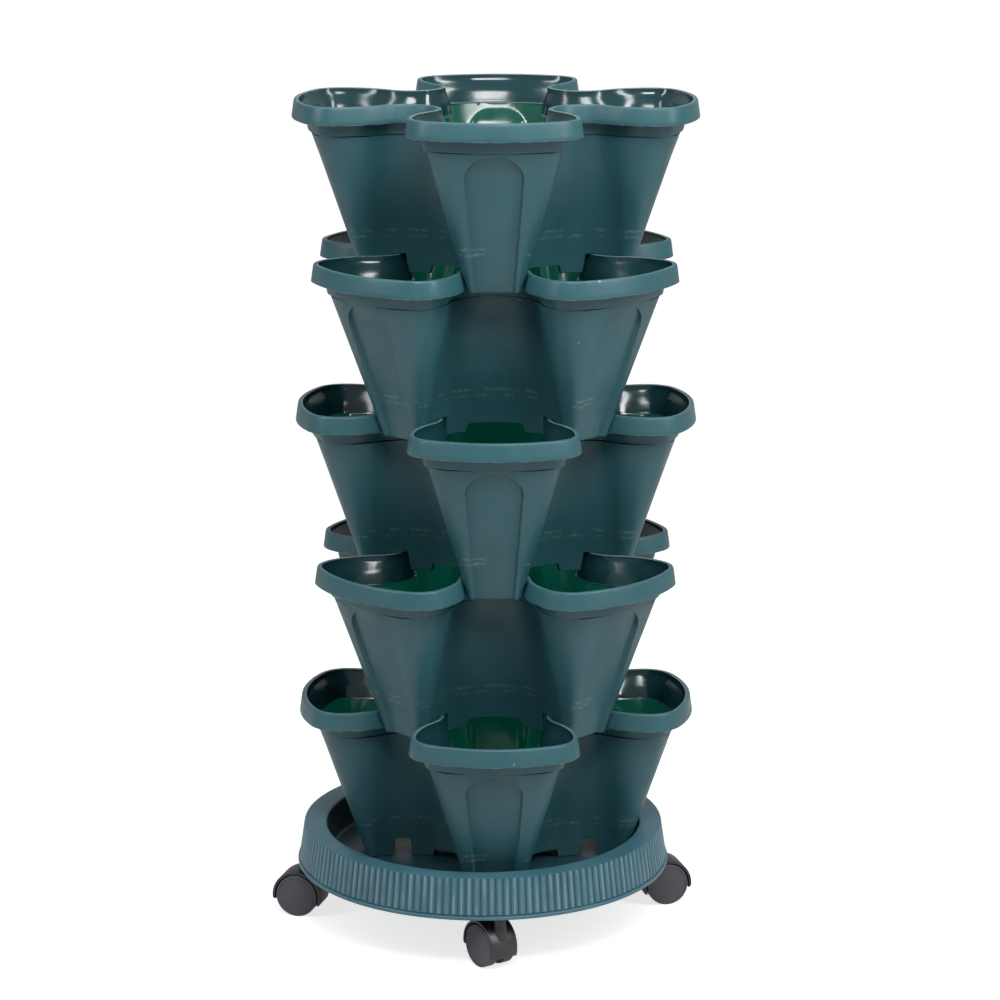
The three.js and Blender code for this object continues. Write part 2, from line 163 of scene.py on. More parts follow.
def bevelled(piece: bpy.types.Object, width: float, degrees: float) -> bpy.types.Object:
    """Rounds a solid's sharp edges.

    Args:
        piece: The solid.
        width: The bevel's width, in metres.
        degrees: Edges sharper than this are rounded.

    Returns:
        The piece, with a plain mesh.
    """
    modifier = piece.modifiers.new("edges", "BEVEL")
    modifier.width = width
    modifier.segments = 2
    modifier.limit_method = "ANGLE"
    modifier.angle_limit = math.radians(degrees)
    return plain_mesh(piece)


def rounded(corners: Sequence[tuple[float, float, float]], steps: int = 4) -> Profile:
    """Turns a polyline with a radius at each corner into points.

    Args:
        corners: Each corner's two coordinates and its radius.
        steps: Steps along each rounded corner.

    Returns:
        The rounded polyline, with its two ends where they were.
    """
    points: Profile = []
    last = len(corners) - 1
    for number, (a, b, radius) in enumerate(corners):
        here = Vector((a, b))
        if radius == 0 or number in (0, last):
            points.append((a, b))
            continue
        before = Vector(corners[number - 1][:2]) - here
        after = Vector(corners[number + 1][:2]) - here
        half = before.angle(after) / 2
        reach = min(radius / math.tan(half), before.length / 2, after.length / 2)
        start = here + before.normalized() * reach
        end = here + after.normalized() * reach
        for step in range(steps + 1):
            share = step / steps
            bent = start.lerp(here, share).lerp(here.lerp(end, share), share)
            points.append((bent.x, bent.y))
    return points


def turned(name: str, profile: Profile, segments: int) -> bpy.types.Object:
    """Revolves a profile about Z into a closed solid.

    Args:
        name: The object's name.
        profile: Points of radius and height; it closes on itself or ends on the axis.
        segments: Steps round the axis.

    Returns:
        The solid.
    """
    count = len(profile)
    points = []
    for step in range(segments):
        angle = FULL_TURN * step / segments
        points += [(r * math.cos(angle), r * math.sin(angle), z) for r, z in profile]
    faces = []
    for step in range(segments):
        here = step * count
        there = ((step + 1) % segments) * count
        for k in range(count):
            after = (k + 1) % count
            faces.append((here + k, there + k, there + after, here + after))
    return outward(mesh_object(name, points, faces))


def drill(name: str, radius: float, low: float, high: float, segments: int) -> bpy.types.Object:
    """Builds the cutter of a round hole on the Z axis, between two heights."""
    return turned(name, [(0.0, low), (radius, low), (radius, high), (0.0, high)], segments)


def extruded(name: str, outline: Profile, low: float, high: float) -> bpy.types.Object:
    """Extrudes an outline in X and Z along Y into a closed solid.

    Args:
        name: The object's name.
        outline: The outline's points, as X and Z.
        low: Where it starts on Y.
        high: Where it ends on Y.

    Returns:
        The solid.
    """
    count = len(outline)
    points = [(x, y, z) for y in (low, high) for x, z in outline]
    sides = [(k, (k + 1) % count, count + (k + 1) % count, count + k) for k in range(count)]
    return outward(mesh_object(name, points, [tuple(range(count)), tuple(range(count, 2 * count)), *sides]))


def placed(piece: bpy.types.Object, place: Matrix) -> bpy.types.Object:
    """Moves a mesh's vertices and leaves its object at the origin."""
    piece.data.transform(place)
    return piece


def copied(piece: bpy.types.Object, name: str) -> bpy.types.Object:
    """Makes a copy of a piece with a mesh of its own."""
    mesh = piece.data.copy()
    mesh.name = name
    return linked(name, mesh)


def joined(name: str, pieces: Sequence[bpy.types.Object]) -> bpy.types.Object:
    """Gathers several solids into one object.

    Args:
        name: The new object's name.
        pieces: The solids, which are deleted.

    Returns:
        One object with all of their meshes.
    """
    work = bmesh.new()
    for piece in pieces:
        work.from_mesh(piece.data)
    discard(*pieces)
    mesh = bpy.data.meshes.new(name)
    work.to_mesh(mesh)
    work.free()
    return linked(name, mesh)


def dress(piece: bpy.types.Object, finish: bpy.types.Material) -> bpy.types.Object:
    """Gives a piece one material."""
    piece.data.materials.clear()
    piece.data.materials.append(finish)
    return piece


def mount(piece: bpy.types.Object, body: str, node: str) -> None:
    """Rides a piece on its body in place of the node that it stands for.

    Args:
        piece: The finished piece.
        body: The body that it moves with.
        node: The node that it replaces.
    """
    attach(piece, body)
    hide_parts(node)
    LOG.info("%s: %d faces on %s", piece.name, len(piece.data.polygons), body)


# Node trees


class NodeBench:
    """Adds nodes to a tree."""

    def __init__(self, tree: bpy.types.NodeTree) -> None:
        """Takes the tree that nodes go into."""
        self.tree = tree

    def feed(self, socket: bpy.types.NodeSocket, value: object) -> None:
        """Links a socket to another, or sets its value."""
        if isinstance(value, bpy.types.NodeSocket):
            self.tree.links.new(value, socket)
        else:
            socket.default_value = value

    def node(self, kind: str, settings: dict[str, object] | None = None, **sockets: object) -> bpy.types.Node:
        """Adds a node.

        Args:
            kind: The node's type.
            settings: Its properties.
            **sockets: Values or links for its inputs, with spaces as underscores; in_0 means the first.

        Returns:
            The node.
        """
        made = self.tree.nodes.new(kind)
        for key, value in (settings or {}).items():
            setattr(made, key, value)
        for key, value in sockets.items():
            label = int(key[3:]) if key.startswith("in_") else key.replace("_", " ")
            self.feed(made.inputs[label], value)
        return made

    def math(self, operation: str, *values: object) -> bpy.types.NodeSocket:
        """Adds a math node.

        Args:
            operation: The operation.
            *values: Its operands, as numbers or sockets.

        Returns:
            The result's socket.
        """
        made = self.node("ShaderNodeMath", {"operation": operation})
        for socket, value in zip(made.inputs, values):
            self.feed(socket, value)
        return made.outputs[0]

    def product(self, first: object, *others: object) -> bpy.types.NodeSocket:
        """Multiplies two or more values."""
        for other in others:
            first = self.math("MULTIPLY", first, other)
        return first


class GeometryTree(NodeBench):
    """A geometry node tree that takes named inputs and ends in a material."""

    def __init__(self, name: str) -> None:
        """Starts a tree with its geometry and material sockets."""
        super().__init__(bpy.data.node_groups.new(name, "GeometryNodeTree"))
        self.inlet = self.tree.nodes.new("NodeGroupInput")
        self.outlet = self.tree.nodes.new("NodeGroupOutput")
        self.tree.interface.new_socket("Geometry", in_out="OUTPUT", socket_type="NodeSocketGeometry")
        self.geometry = self.input("Geometry", "NodeSocketGeometry")
        self.finish = self.input("Finish", "NodeSocketMaterial")

    def input(self, name: str, kind: str) -> bpy.types.NodeSocket:
        """Adds a named input of a socket type and gives the socket that holds it inside the tree."""
        self.tree.interface.new_socket(name, in_out="INPUT", socket_type=kind)
        return self.inlet.outputs[name]

    def around(self, shape: bpy.types.NodeSocket, count: bpy.types.NodeSocket) -> bpy.types.NodeSocket:
        """Repeats a shape about the Z axis.

        Args:
            shape: The shape's geometry.
            count: How many copies there are.

        Returns:
            The copies, realized.
        """
        points = self.node("GeometryNodePoints", Count=count)
        index = self.node("GeometryNodeInputIndex")
        step = self.math("DIVIDE", FULL_TURN, count)
        turn = self.node(
            "FunctionNodeAxisAngleToRotation",
            Axis=(0.0, 0.0, 1.0),
            Angle=self.math("MULTIPLY", index.outputs[0], step),
        )
        copies = self.node(
            "GeometryNodeInstanceOnPoints",
            Points=points.outputs[0],
            Instance=shape,
            Rotation=turn.outputs[0],
        )
        return self.node("GeometryNodeRealizeInstances", Geometry=copies.outputs[0]).outputs[0]

    def object(self, name: str) -> bpy.types.NodeSocket:
        """Adds an object input and gives its geometry."""
        source = self.input(name, "NodeSocketObject")
        return self.node("GeometryNodeObjectInfo", Object=source).outputs["Geometry"]

    def boolean(
        self, how: Cut, body: bpy.types.NodeSocket, tool: bpy.types.NodeSocket,
    ) -> bpy.types.NodeSocket:
        """Joins a tool to a body, or removes it.

        Args:
            how: Whether the tool is joined or removed.
            body: The geometry that is kept.
            tool: The geometry that acts on it.

        Returns:
            The result.
        """
        made = self.node("GeometryNodeMeshBoolean", {"operation": how.value, "solver": "EXACT"})
        self.feed(made.inputs["Mesh 1" if how is Cut.REMOVE else "Mesh 2"], body)
        self.feed(made.inputs["Mesh 2"], tool)
        return made.outputs["Mesh"]

    def close(self, geometry: bpy.types.NodeSocket) -> bpy.types.NodeTree:
        """Ends the tree in Realize Instances and Set Material.

        Args:
            geometry: What the tree has made.

        Returns:
            The finished tree.
        """
        real = self.node("GeometryNodeRealizeInstances", Geometry=geometry)
        dressed = self.node("GeometryNodeSetMaterial", Geometry=real.outputs[0], Material=self.finish)
        self.feed(self.outlet.inputs[0], dressed.outputs[0])
        return self.tree


def grown(piece: bpy.types.Object, tree: bpy.types.NodeTree, values: dict[str, object]) -> bpy.types.Object:
    """Runs a geometry node tree on a piece and keeps the result as its mesh.

    Args:
        piece: The object that the tree starts from.
        tree: The tree.
        values: The tree's inputs by name.

    Returns:
        The piece, with a plain mesh and no modifier.
    """
    modifier = piece.modifiers.new(tree.name, "NODES")
    modifier.node_group = tree
    for item in tree.interface.items_tree:
        if item.in_out == "INPUT" and item.name in values:
            modifier[item.identifier] = values[item.name]
    return plain_mesh(piece)


# Shader trees and shared patterns


class ShaderBench(NodeBench):
    """Adds nodes to a shader tree or to a shader node group."""

    def ramp(self, value: bpy.types.NodeSocket, low: object, high: object,
             to_low: float = 0.0, to_high: float = 1.0) -> bpy.types.NodeSocket:
        """Maps a range smoothly to another.

        Args:
            value: The value to map.
            low: The value that gives to_low.
            high: The value that gives to_high.
            to_low: The result's start.
            to_high: The result's end.

        Returns:
            The mapped value's socket.
        """
        made = self.node("ShaderNodeMapRange", {"interpolation_type": "SMOOTHSTEP"})
        for socket, entry in zip(made.inputs, (value, low, high, to_low, to_high)):
            self.feed(socket, entry)
        return made.outputs[0]

    def mix(self, share: object, first: object, second: object) -> bpy.types.NodeSocket:
        """Mixes two colours.

        Args:
            share: How much of the second there is.
            first: The first colour, as RGB or a socket.
            second: The second colour.

        Returns:
            The mixed colour's socket.
        """
        made = self.node("ShaderNodeMix", {"data_type": "RGBA"}, in_0=share)
        for socket, value in ((made.inputs[6], first), (made.inputs[7], second)):
            self.feed(socket, (*value, 1.0) if isinstance(value, tuple) else value)
        return made.outputs[2]

    def noise(
        self, place: bpy.types.NodeSocket, size: object, detail: float = 2.0, roughness: float = 0.5,
    ) -> bpy.types.NodeSocket:
        """Adds a noise pattern.

        Args:
            place: The coordinates that it reads.
            size: The size of its features, in metres, as a number or a socket.
            detail: Its octaves.
            roughness: How strong the finer octaves are.

        Returns:
            The noise's value.
        """
        scale = 1 / size if isinstance(size, float) else self.math("DIVIDE", 1.0, size)
        made = self.node("ShaderNodeTexNoise", Vector=place, Scale=scale, Detail=detail, Roughness=roughness)
        return made.outputs["Fac"]

    def stretched(
        self, place: bpy.types.NodeSocket, scale: tuple[float, float, float],
    ) -> bpy.types.NodeSocket:
        """Scales coordinates along each axis."""
        return self.node("ShaderNodeMapping", Vector=place, Scale=scale).outputs[0]

    def height_of(self, place: bpy.types.NodeSocket) -> bpy.types.NodeSocket:
        """Gives the height that coordinates hold."""
        return self.node("ShaderNodeSeparateXYZ", Vector=place).outputs[2]

    def background_rays(self, sheen: float = 0.42) -> bpy.types.NodeSocket:
        """Gives how white the background is to a ray.

        Args:
            sheen: How much of it glossy rays see.

        Returns:
            1 for camera and transmission rays, the sheen for glossy ones, else 0.
        """
        rays = self.node("ShaderNodeLightPath").outputs
        clear = self.math("MAXIMUM", rays["Is Camera Ray"], rays["Is Transmission Ray"])
        return self.math("MAXIMUM", clear, self.product(rays["Is Glossy Ray"], sheen))


class ShaderGroup(ShaderBench):
    """A shader node group with named sockets."""

    def __init__(self, name: str, inputs: dict[str, str], outputs: Sequence[str]) -> None:
        """Makes the group and its sockets.

        Args:
            name: The group's name.
            inputs: Each input's name and socket type.
            outputs: The names of its outputs, which are all numbers.
        """
        super().__init__(bpy.data.node_groups.new(name, "ShaderNodeTree"))
        for label, kind in inputs.items():
            self.tree.interface.new_socket(label, in_out="INPUT", socket_type=kind)
        for label in outputs:
            self.tree.interface.new_socket(label, in_out="OUTPUT", socket_type="NodeSocketFloat")
        self.inlet = self.tree.nodes.new("NodeGroupInput").outputs
        self.outlet = self.tree.nodes.new("NodeGroupOutput").inputs


def grain_group() -> bpy.types.NodeTree:
    """Builds the fine spark-eroded grain of moulded plastic.

    Returns:
        A group that gives a height and a slow variation over the surface.
    """
    group = ShaderGroup(
        "moulded_grain",
        {"Place": "NodeSocketVector", "Size": "NodeSocketFloat", "Blotch": "NodeSocketFloat"},
        ("Height", "Variation"),
    )
    place, size = group.inlet["Place"], group.inlet["Size"]
    pit_density, pit_share = 0.7, 0.4
    fine = group.noise(place, size, detail=3.0, roughness=0.6)
    pits = group.node("ShaderNodeTexVoronoi", Vector=place, Scale=group.math("DIVIDE", pit_density, size))
    height = group.math("ADD", fine, group.product(pits.outputs["Distance"], pit_share))
    group.feed(group.outlet["Height"], height)
    slow = group.noise(place, group.inlet["Blotch"], detail=4.0, roughness=0.62)
    group.feed(group.outlet["Variation"], group.ramp(slow, 0.3, 0.7))
    return group.tree


def speck_group() -> bpy.types.NodeTree:
    """Builds sparse pale specks, such as dust and tiny nicks.

    Returns:
        A group that gives a mask.
    """
    group = ShaderGroup(
        "pale_specks",
        {"Place": "NodeSocketVector", "Spacing": "NodeSocketFloat", "Radius": "NodeSocketFloat"},
        ("Mask",),
    )
    bare_share = 0.55
    place, spacing, radius = (group.inlet[name] for name in ("Place", "Spacing", "Radius"))
    cells = group.node("ShaderNodeTexVoronoi", Vector=place, Scale=group.math("DIVIDE", 1.0, spacing))
    draw = group.node("ShaderNodeSeparateColor", in_0=cells.outputs["Color"]).outputs
    own = group.product(group.math("DIVIDE", radius, spacing), draw[0])
    near = group.math("LESS_THAN", cells.outputs["Distance"], own)
    chosen = group.math("GREATER_THAN", draw[1], bare_share)
    group.feed(group.outlet["Mask"], group.product(near, chosen))
    return group.tree


def rub_group() -> bpy.types.NodeTree:
    """Builds the level rub marks that pots leave on each other when they nest.

    Returns:
        A group that gives a mask of broken level lines about a height.
    """
    group = ShaderGroup(
        "nesting_rubs",
        {"Place": "NodeSocketVector", "Level": "NodeSocketFloat", "Spread": "NodeSocketFloat"},
        ("Mask",),
    )
    place = group.inlet["Place"]
    off = group.math("ABSOLUTE", group.math("SUBTRACT", group.height_of(place), group.inlet["Level"]))
    band = group.ramp(off, group.inlet["Spread"], 0.0)
    break_size, scratch_size, scratch_stretch = 0.014, 0.0012, (0.5, 0.5, 1.0)
    breaks = group.noise(place, break_size, detail=4.0, roughness=0.75)
    scratch = group.noise(group.stretched(place, scratch_stretch), scratch_size)
    mask = group.product(group.ramp(breaks, 0.46, 0.62), group.ramp(scratch, 0.4, 0.6, 0.1, 1.0), band)
    group.feed(group.outlet["Mask"], mask)
    return group.tree


@dataclass
class Patterns:
    """The shader node groups that the finishes share."""

    grain: bpy.types.NodeTree = field(default_factory=grain_group)
    specks: bpy.types.NodeTree = field(default_factory=speck_group)
    rubs: bpy.types.NodeTree = field(default_factory=rub_group)


class Bench(ShaderBench):
    """A material under construction."""

    def __init__(self, name: str) -> None:
        """Starts a material with an empty Principled shader."""
        self.material = bpy.data.materials.new(name)
        self.material.use_nodes = True
        super().__init__(self.material.node_tree)
        self.shader = self.tree.nodes["Principled BSDF"]

    def place(self) -> bpy.types.NodeSocket:
        """Gives the object's own coordinates."""
        return self.node("ShaderNodeTexCoord").outputs["Object"]

    def attribute(self, name: str, output: str = "Fac") -> bpy.types.NodeSocket:
        """Gives a named attribute of the mesh, as a number or as its Vector."""
        return self.node("ShaderNodeAttribute", {"attribute_name": name}).outputs[output]

    def group(self, tree: bpy.types.NodeTree, **sockets: object) -> bpy.types.NodeOutputs:
        """Places a shared group with its inputs and gives its outputs."""
        return self.node("ShaderNodeGroup", {"node_tree": tree}, **sockets).outputs

    def grain(self, patterns: Patterns, size: float, blotch: float) -> bpy.types.NodeOutputs:
        """Gives the Height of the moulded grain and its slow Variation."""
        return self.group(patterns.grain, Place=self.place(), Size=size, Blotch=blotch)

    def specks(
        self, patterns: Patterns, spacing: float = 0.016, radius: float = 0.0009,
    ) -> bpy.types.NodeSocket:
        """Gives a mask of sparse pale specks, by their spacing and their largest radius."""
        return self.group(patterns.specks, Place=self.place(), Spacing=spacing, Radius=radius)["Mask"]

    def set(self, **sockets: object) -> None:
        """Sets or links the shader's own sockets, named with underscores."""
        for key, value in sockets.items():
            self.feed(self.shader.inputs[key.replace("_", " ")], value)

    def bump(self, height: bpy.types.NodeSocket, depth: float) -> None:
        """Adds relief that is as many metres deep where its height is 1."""
        self.set(Normal=self.node("ShaderNodeBump", Strength=1.0, Distance=depth, Height=height).outputs[0])


# Finishes


@dataclass(frozen=True)
class PotFinish:
    """Satin teal outside, with a painted highlight on the rim's top edge; glossy inside, with painted shade
    under the rim and, below its ledge, painted deep green and a faint painted glow for the light that the
    wall lets through.
    """

    outside: Rgb = (0.020, 0.088, 0.106)
    bloom: Rgb = (0.036, 0.112, 0.136)
    # Painted deep green below the ledge, for the light that the wall lets through.
    inside: Rgb = (0.003, 0.055, 0.038)
    # Painted shade: the inside under the rim, much darker than the same plastic outside.
    painted_throat_shade: Rgb = (0.006, 0.034, 0.040)
    # Pale tone of rub marks, mould flash and dust specks, and of the painted highlight on the rim's top edge.
    pale_mark_and_highlight: Rgb = (0.45, 0.56, 0.58)
    # Painted glow below the ledge, for the light that the wall lets through.
    shine_through: Rgb = (0.0, 0.022, 0.014)
    ledge: float = 0.1212
    ledge_blend: float = 0.001
    grain_size: float = 0.0007
    blotch_size: float = 0.045
    grain_depth: float = 0.00006
    outside_roughness: float = 0.43
    inside_roughness: float = 0.16
    sheen_size: float = 0.03
    sheen_spread: tuple[float, float] = (0.05, -0.08)
    bloom_share: float = 0.35
    rub_levels: tuple[float, float] = (0.0375, 0.0325)
    rub_spread: float = 0.0022
    rub_share: float = 0.38
    # Shares of the painted highlight on the rim's top edge, outside and inside.
    rim_highlight_shares: tuple[float, float] = (0.12, 0.7)
    mark_share: float = 0.6
    inside_relief: float = 0.12
    band_edge: float = 0.1300
    rim_edge: float = 0.1444
    edge_width: float = 0.0006
    flash_size: float = 0.006

    def material(self, patterns: Patterns) -> bpy.types.Material:
        """Builds the pots' material.

        Args:
            patterns: The shared shader groups.

        Returns:
            The material.
        """
        bench = Bench("satin_teal_polypropylene")
        here = bench.attribute("pot_place", "Vector")
        height = bench.height_of(here)
        inner = bench.attribute("inner")
        grain = bench.grain(patterns, self.grain_size, self.blotch_size)
        outer_rim_highlight, inner_rim_highlight = self.rim_highlight_shares
        # Painted highlight along the top of the rim's crown.
        crown = bench.ramp(height, self.rim_edge, self.rim_edge + self.edge_width)
        marks = [
            bench.group(patterns.rubs, Place=here, Level=level, Spread=self.rub_spread)["Mask"]
            for level in self.rub_levels
        ]
        rubs = bench.product(bench.math("MAXIMUM", *marks), self.rub_share)
        off_lip = bench.math("ABSOLUTE", bench.math("SUBTRACT", height, self.band_edge))
        ragged = bench.ramp(bench.noise(here, self.flash_size, detail=3.0, roughness=0.7), 0.42, 0.6)
        flash = bench.product(bench.ramp(off_lip, self.edge_width, 0.0), ragged)
        # Pale marks: the band's mould flash and the crown's painted highlight, then rubs and dust specks.
        edge = bench.math("MAXIMUM", flash, bench.product(crown, outer_rim_highlight))
        pale = bench.math("MAXIMUM", bench.math("MAXIMUM", rubs, edge), bench.specks(patterns))
        outside = bench.mix(bench.product(grain["Variation"], self.bloom_share), self.outside, self.bloom)
        outside = bench.mix(bench.product(pale, self.mark_share), outside, self.pale_mark_and_highlight)
        # Inside: painted shade under the rim, and painted deep green below the ledge for the light that the
        # wall lets through.
        below = bench.ramp(height, self.ledge + self.ledge_blend, self.ledge - self.ledge_blend)
        inside = bench.mix(below, self.painted_throat_shade, self.inside)
        # Painted highlight along the crown's inner edge.
        inside = bench.mix(bench.product(crown, inner_rim_highlight), inside, self.pale_mark_and_highlight)
        haze = bench.noise(here, self.sheen_size, detail=3.0, roughness=0.6)
        sheen = bench.ramp(haze, 0.35, 0.7, *self.sheen_spread)
        roughness = bench.ramp(inner, 0.0, 1.0, self.outside_roughness, self.inside_roughness)
        bench.set(
            Base_Color=bench.mix(inner, outside, inside),
            Roughness=bench.math("ADD", sheen, roughness),
            # Painted glow below the ledge, for the light that comes through the wall.
            Emission_Color=bench.mix(bench.product(inner, below), (0.0, 0.0, 0.0), self.shine_through),
            Emission_Strength=1.0,
        )
        relief = bench.product(grain["Height"], bench.ramp(inner, 0.0, 1.0, 1.0, self.inside_relief))
        bench.bump(relief, self.grain_depth)
        return bench.material


@dataclass(frozen=True)
class MouldedFinish:
    """One satin moulded plastic."""

    name: str
    colour: Rgb
    bloom: Rgb
    roughness: float
    grain_size: float
    grain_depth: float
    blotch_size: float = 0.03
    roughness_spread: float = 0.05
    # Colour of the shade painted into the reeds' grooves and the well; None leaves the plastic plain.
    groove: Rgb | None = None
    groove_power: float = 2.4
    # Pale streaks on the reeds' crests: partly the flutes' uneven tone, partly painted highlight.
    crest_tone_and_highlight: Rgb = (0.15, 0.26, 0.32)
    streak_size: float = 0.008
    streak_stretch: tuple[float, float, float] = (1.0, 1.0, 0.03)
    streak_shares: tuple[float, float] = (0.15, 0.85)
    crest_depths: tuple[float, float] = (0.14, 0.02)
    speck_share: float = 0.5
    # Share of painted shade in the saucer's well.
    painted_well_shade: float = 0.75

    def material(self, patterns: Patterns) -> bpy.types.Material:
        """Builds the material.

        Args:
            patterns: The shared shader groups.

        Returns:
            The material.
        """
        bench = Bench(self.name)
        grain = bench.grain(patterns, self.grain_size, self.blotch_size)
        variation = grain["Variation"]
        colour = bench.mix(variation, self.colour, self.bloom)
        if self.groove:
            specks = bench.product(bench.specks(patterns), self.speck_share)
            colour = bench.mix(specks, colour, PotFinish.pale_mark_and_highlight)
            # Painted shade in the grooves and the well, painted highlights on the crests.
            colour = self.reeded(bench, colour, self.groove)
        spread = self.roughness_spread
        bench.set(
            Base_Color=colour,
            Roughness=bench.ramp(variation, 0.0, 1.0, self.roughness - spread, self.roughness + spread),
        )
        bench.bump(grain["Height"], self.grain_depth)
        return bench.material

    def reeded(self, bench: Bench, colour: bpy.types.NodeSocket, groove: Rgb) -> bpy.types.NodeSocket:
        """Paints pale streaks on the reeds' crests, partly uneven tone and partly highlight, and paints shade
        into their grooves and the well.

        Args:
            bench: The material's bench.
            colour: The plain colour.
            groove: The colour of the shade painted into the grooves and the well.

        Returns:
            The toned colour.
        """
        depth = bench.attribute("groove")
        drawn = bench.stretched(bench.place(), self.streak_stretch)
        streaks = bench.noise(drawn, self.streak_size, roughness=0.7)
        # Pale crest streaks: partly uneven tone, partly painted highlight.
        crest = bench.product(bench.ramp(depth, *self.crest_depths), bench.attribute("fluted"))
        streaked = bench.product(crest, bench.ramp(streaks, 0.4, 0.6, *self.streak_shares))
        colour = bench.mix(streaked, colour, self.crest_tone_and_highlight)
        # Painted shade in the grooves and in the saucer's well.
        well = bench.product(bench.attribute("well"), self.painted_well_shade)
        shade = bench.math("POWER", depth, self.groove_power)
        return bench.mix(bench.math("MAXIMUM", shade, well), colour, groove)


@dataclass(frozen=True)
class SteelFinish:
    """Bright drawn steel with fine lines along the pin."""

    colour: Rgb = (0.42, 0.43, 0.45)
    roughness: float = 0.28
    roughness_spread: tuple[float, float] = (-0.06, 0.1)
    line: Rgb = (0.3, 0.3, 0.32)
    line_size: float = 0.0004
    line_stretch: tuple[float, float, float] = (1.0, 1.0, 0.05)
    line_depth: float = 0.00001

    def material(self) -> bpy.types.Material:
        """Builds the pins' material."""
        bench = Bench("drawn_steel")
        lines = bench.noise(bench.stretched(bench.place(), self.line_stretch), self.line_size, detail=3.0)
        smoother, rougher = self.roughness_spread
        bench.set(
            Base_Color=bench.mix(lines, self.colour, self.line),
            Roughness=bench.ramp(lines, 0.0, 1.0, self.roughness + smoother, self.roughness + rougher),
            Metallic=1.0,
        )
        bench.bump(lines, self.line_depth)
        return bench.material


# The pot


@dataclass(frozen=True)
class ArcSteps:
    """Steps along each arc of an eighth of the pot's outline."""

    tip: int = 16
    corner: int = 9
    flank: int = 8
    waist: int = 10


@dataclass(frozen=True)
class Section:
    """The pot's outline at one level, as the sizes of the petal on +X."""

    reach: float
    half_width: float
    corner_radius: float
    flank_radius: float
    corner_at: float
    waist_at: float

    def stepped(self, inset: float, waist_shift: float = 0.0) -> "Section":
        """Draws the outline in.

        Args:
            inset: How far it is drawn in.
            waist_shift: How far the waist's centre moves out along X and Y.

        Returns:
            The new section.
        """
        return replace(
            self,
            reach=self.reach - inset,
            half_width=self.half_width - inset,
            corner_radius=self.corner_radius - inset,
            flank_radius=self.flank_radius - inset,
            waist_at=self.waist_at + waist_shift,
        )

    def eighth(self, steps: ArcSteps) -> list[Vector]:
        """Gives the points from the petal's tip to the diagonal.

        Args:
            steps: Steps along the end, corner, flank and waist arcs.

        Returns:
            Points on four arcs, each tangent to the next.
        """
        corner = Vector((self.corner_at, self.half_width - self.corner_radius))
        ahead = self.reach - self.corner_at
        end_radius = (ahead ** 2 + corner.y ** 2 - self.corner_radius ** 2) / 2 / (ahead - self.corner_radius)
        end = Vector((self.reach - end_radius, 0.0))
        flank = Vector((self.corner_at, self.half_width - self.flank_radius))
        waist = Vector((self.waist_at, self.waist_at))
        waist_radius = (flank - waist).length - self.flank_radius
        to_corner = math.atan2(corner.y - end.y, corner.x - end.x)
        to_waist = math.atan2(waist.y - flank.y, waist.x - flank.x)
        arcs = (
            (end, end_radius, 0.0, to_corner, steps.tip),
            (corner, self.corner_radius, to_corner, math.pi / 2, steps.corner),
            (flank, self.flank_radius, math.pi / 2, to_waist, steps.flank),
            (waist, waist_radius, to_waist + math.pi, math.pi * 1.25, steps.waist),
        )
        points = []
        for centre, radius, start, stop, count in arcs:
            for step in range(count):
                angle = start + (stop - start) * step / count
                points.append(centre + radius * Vector((math.cos(angle), math.sin(angle))))
        return [*points, waist.normalized() * (waist.length - waist_radius)]

    def quarter(self, steps: ArcSteps) -> list[Vector]:
        """Gives the points round the petal from one diagonal to the next."""
        eighth = self.eighth(steps)
        return [*(Vector((p.x, -p.y)) for p in reversed(eighth[1:])), *eighth]


@dataclass(frozen=True)
class Level:
    """One level of a quarter of the pot's skin."""

    points: list[Vector]
    height: float


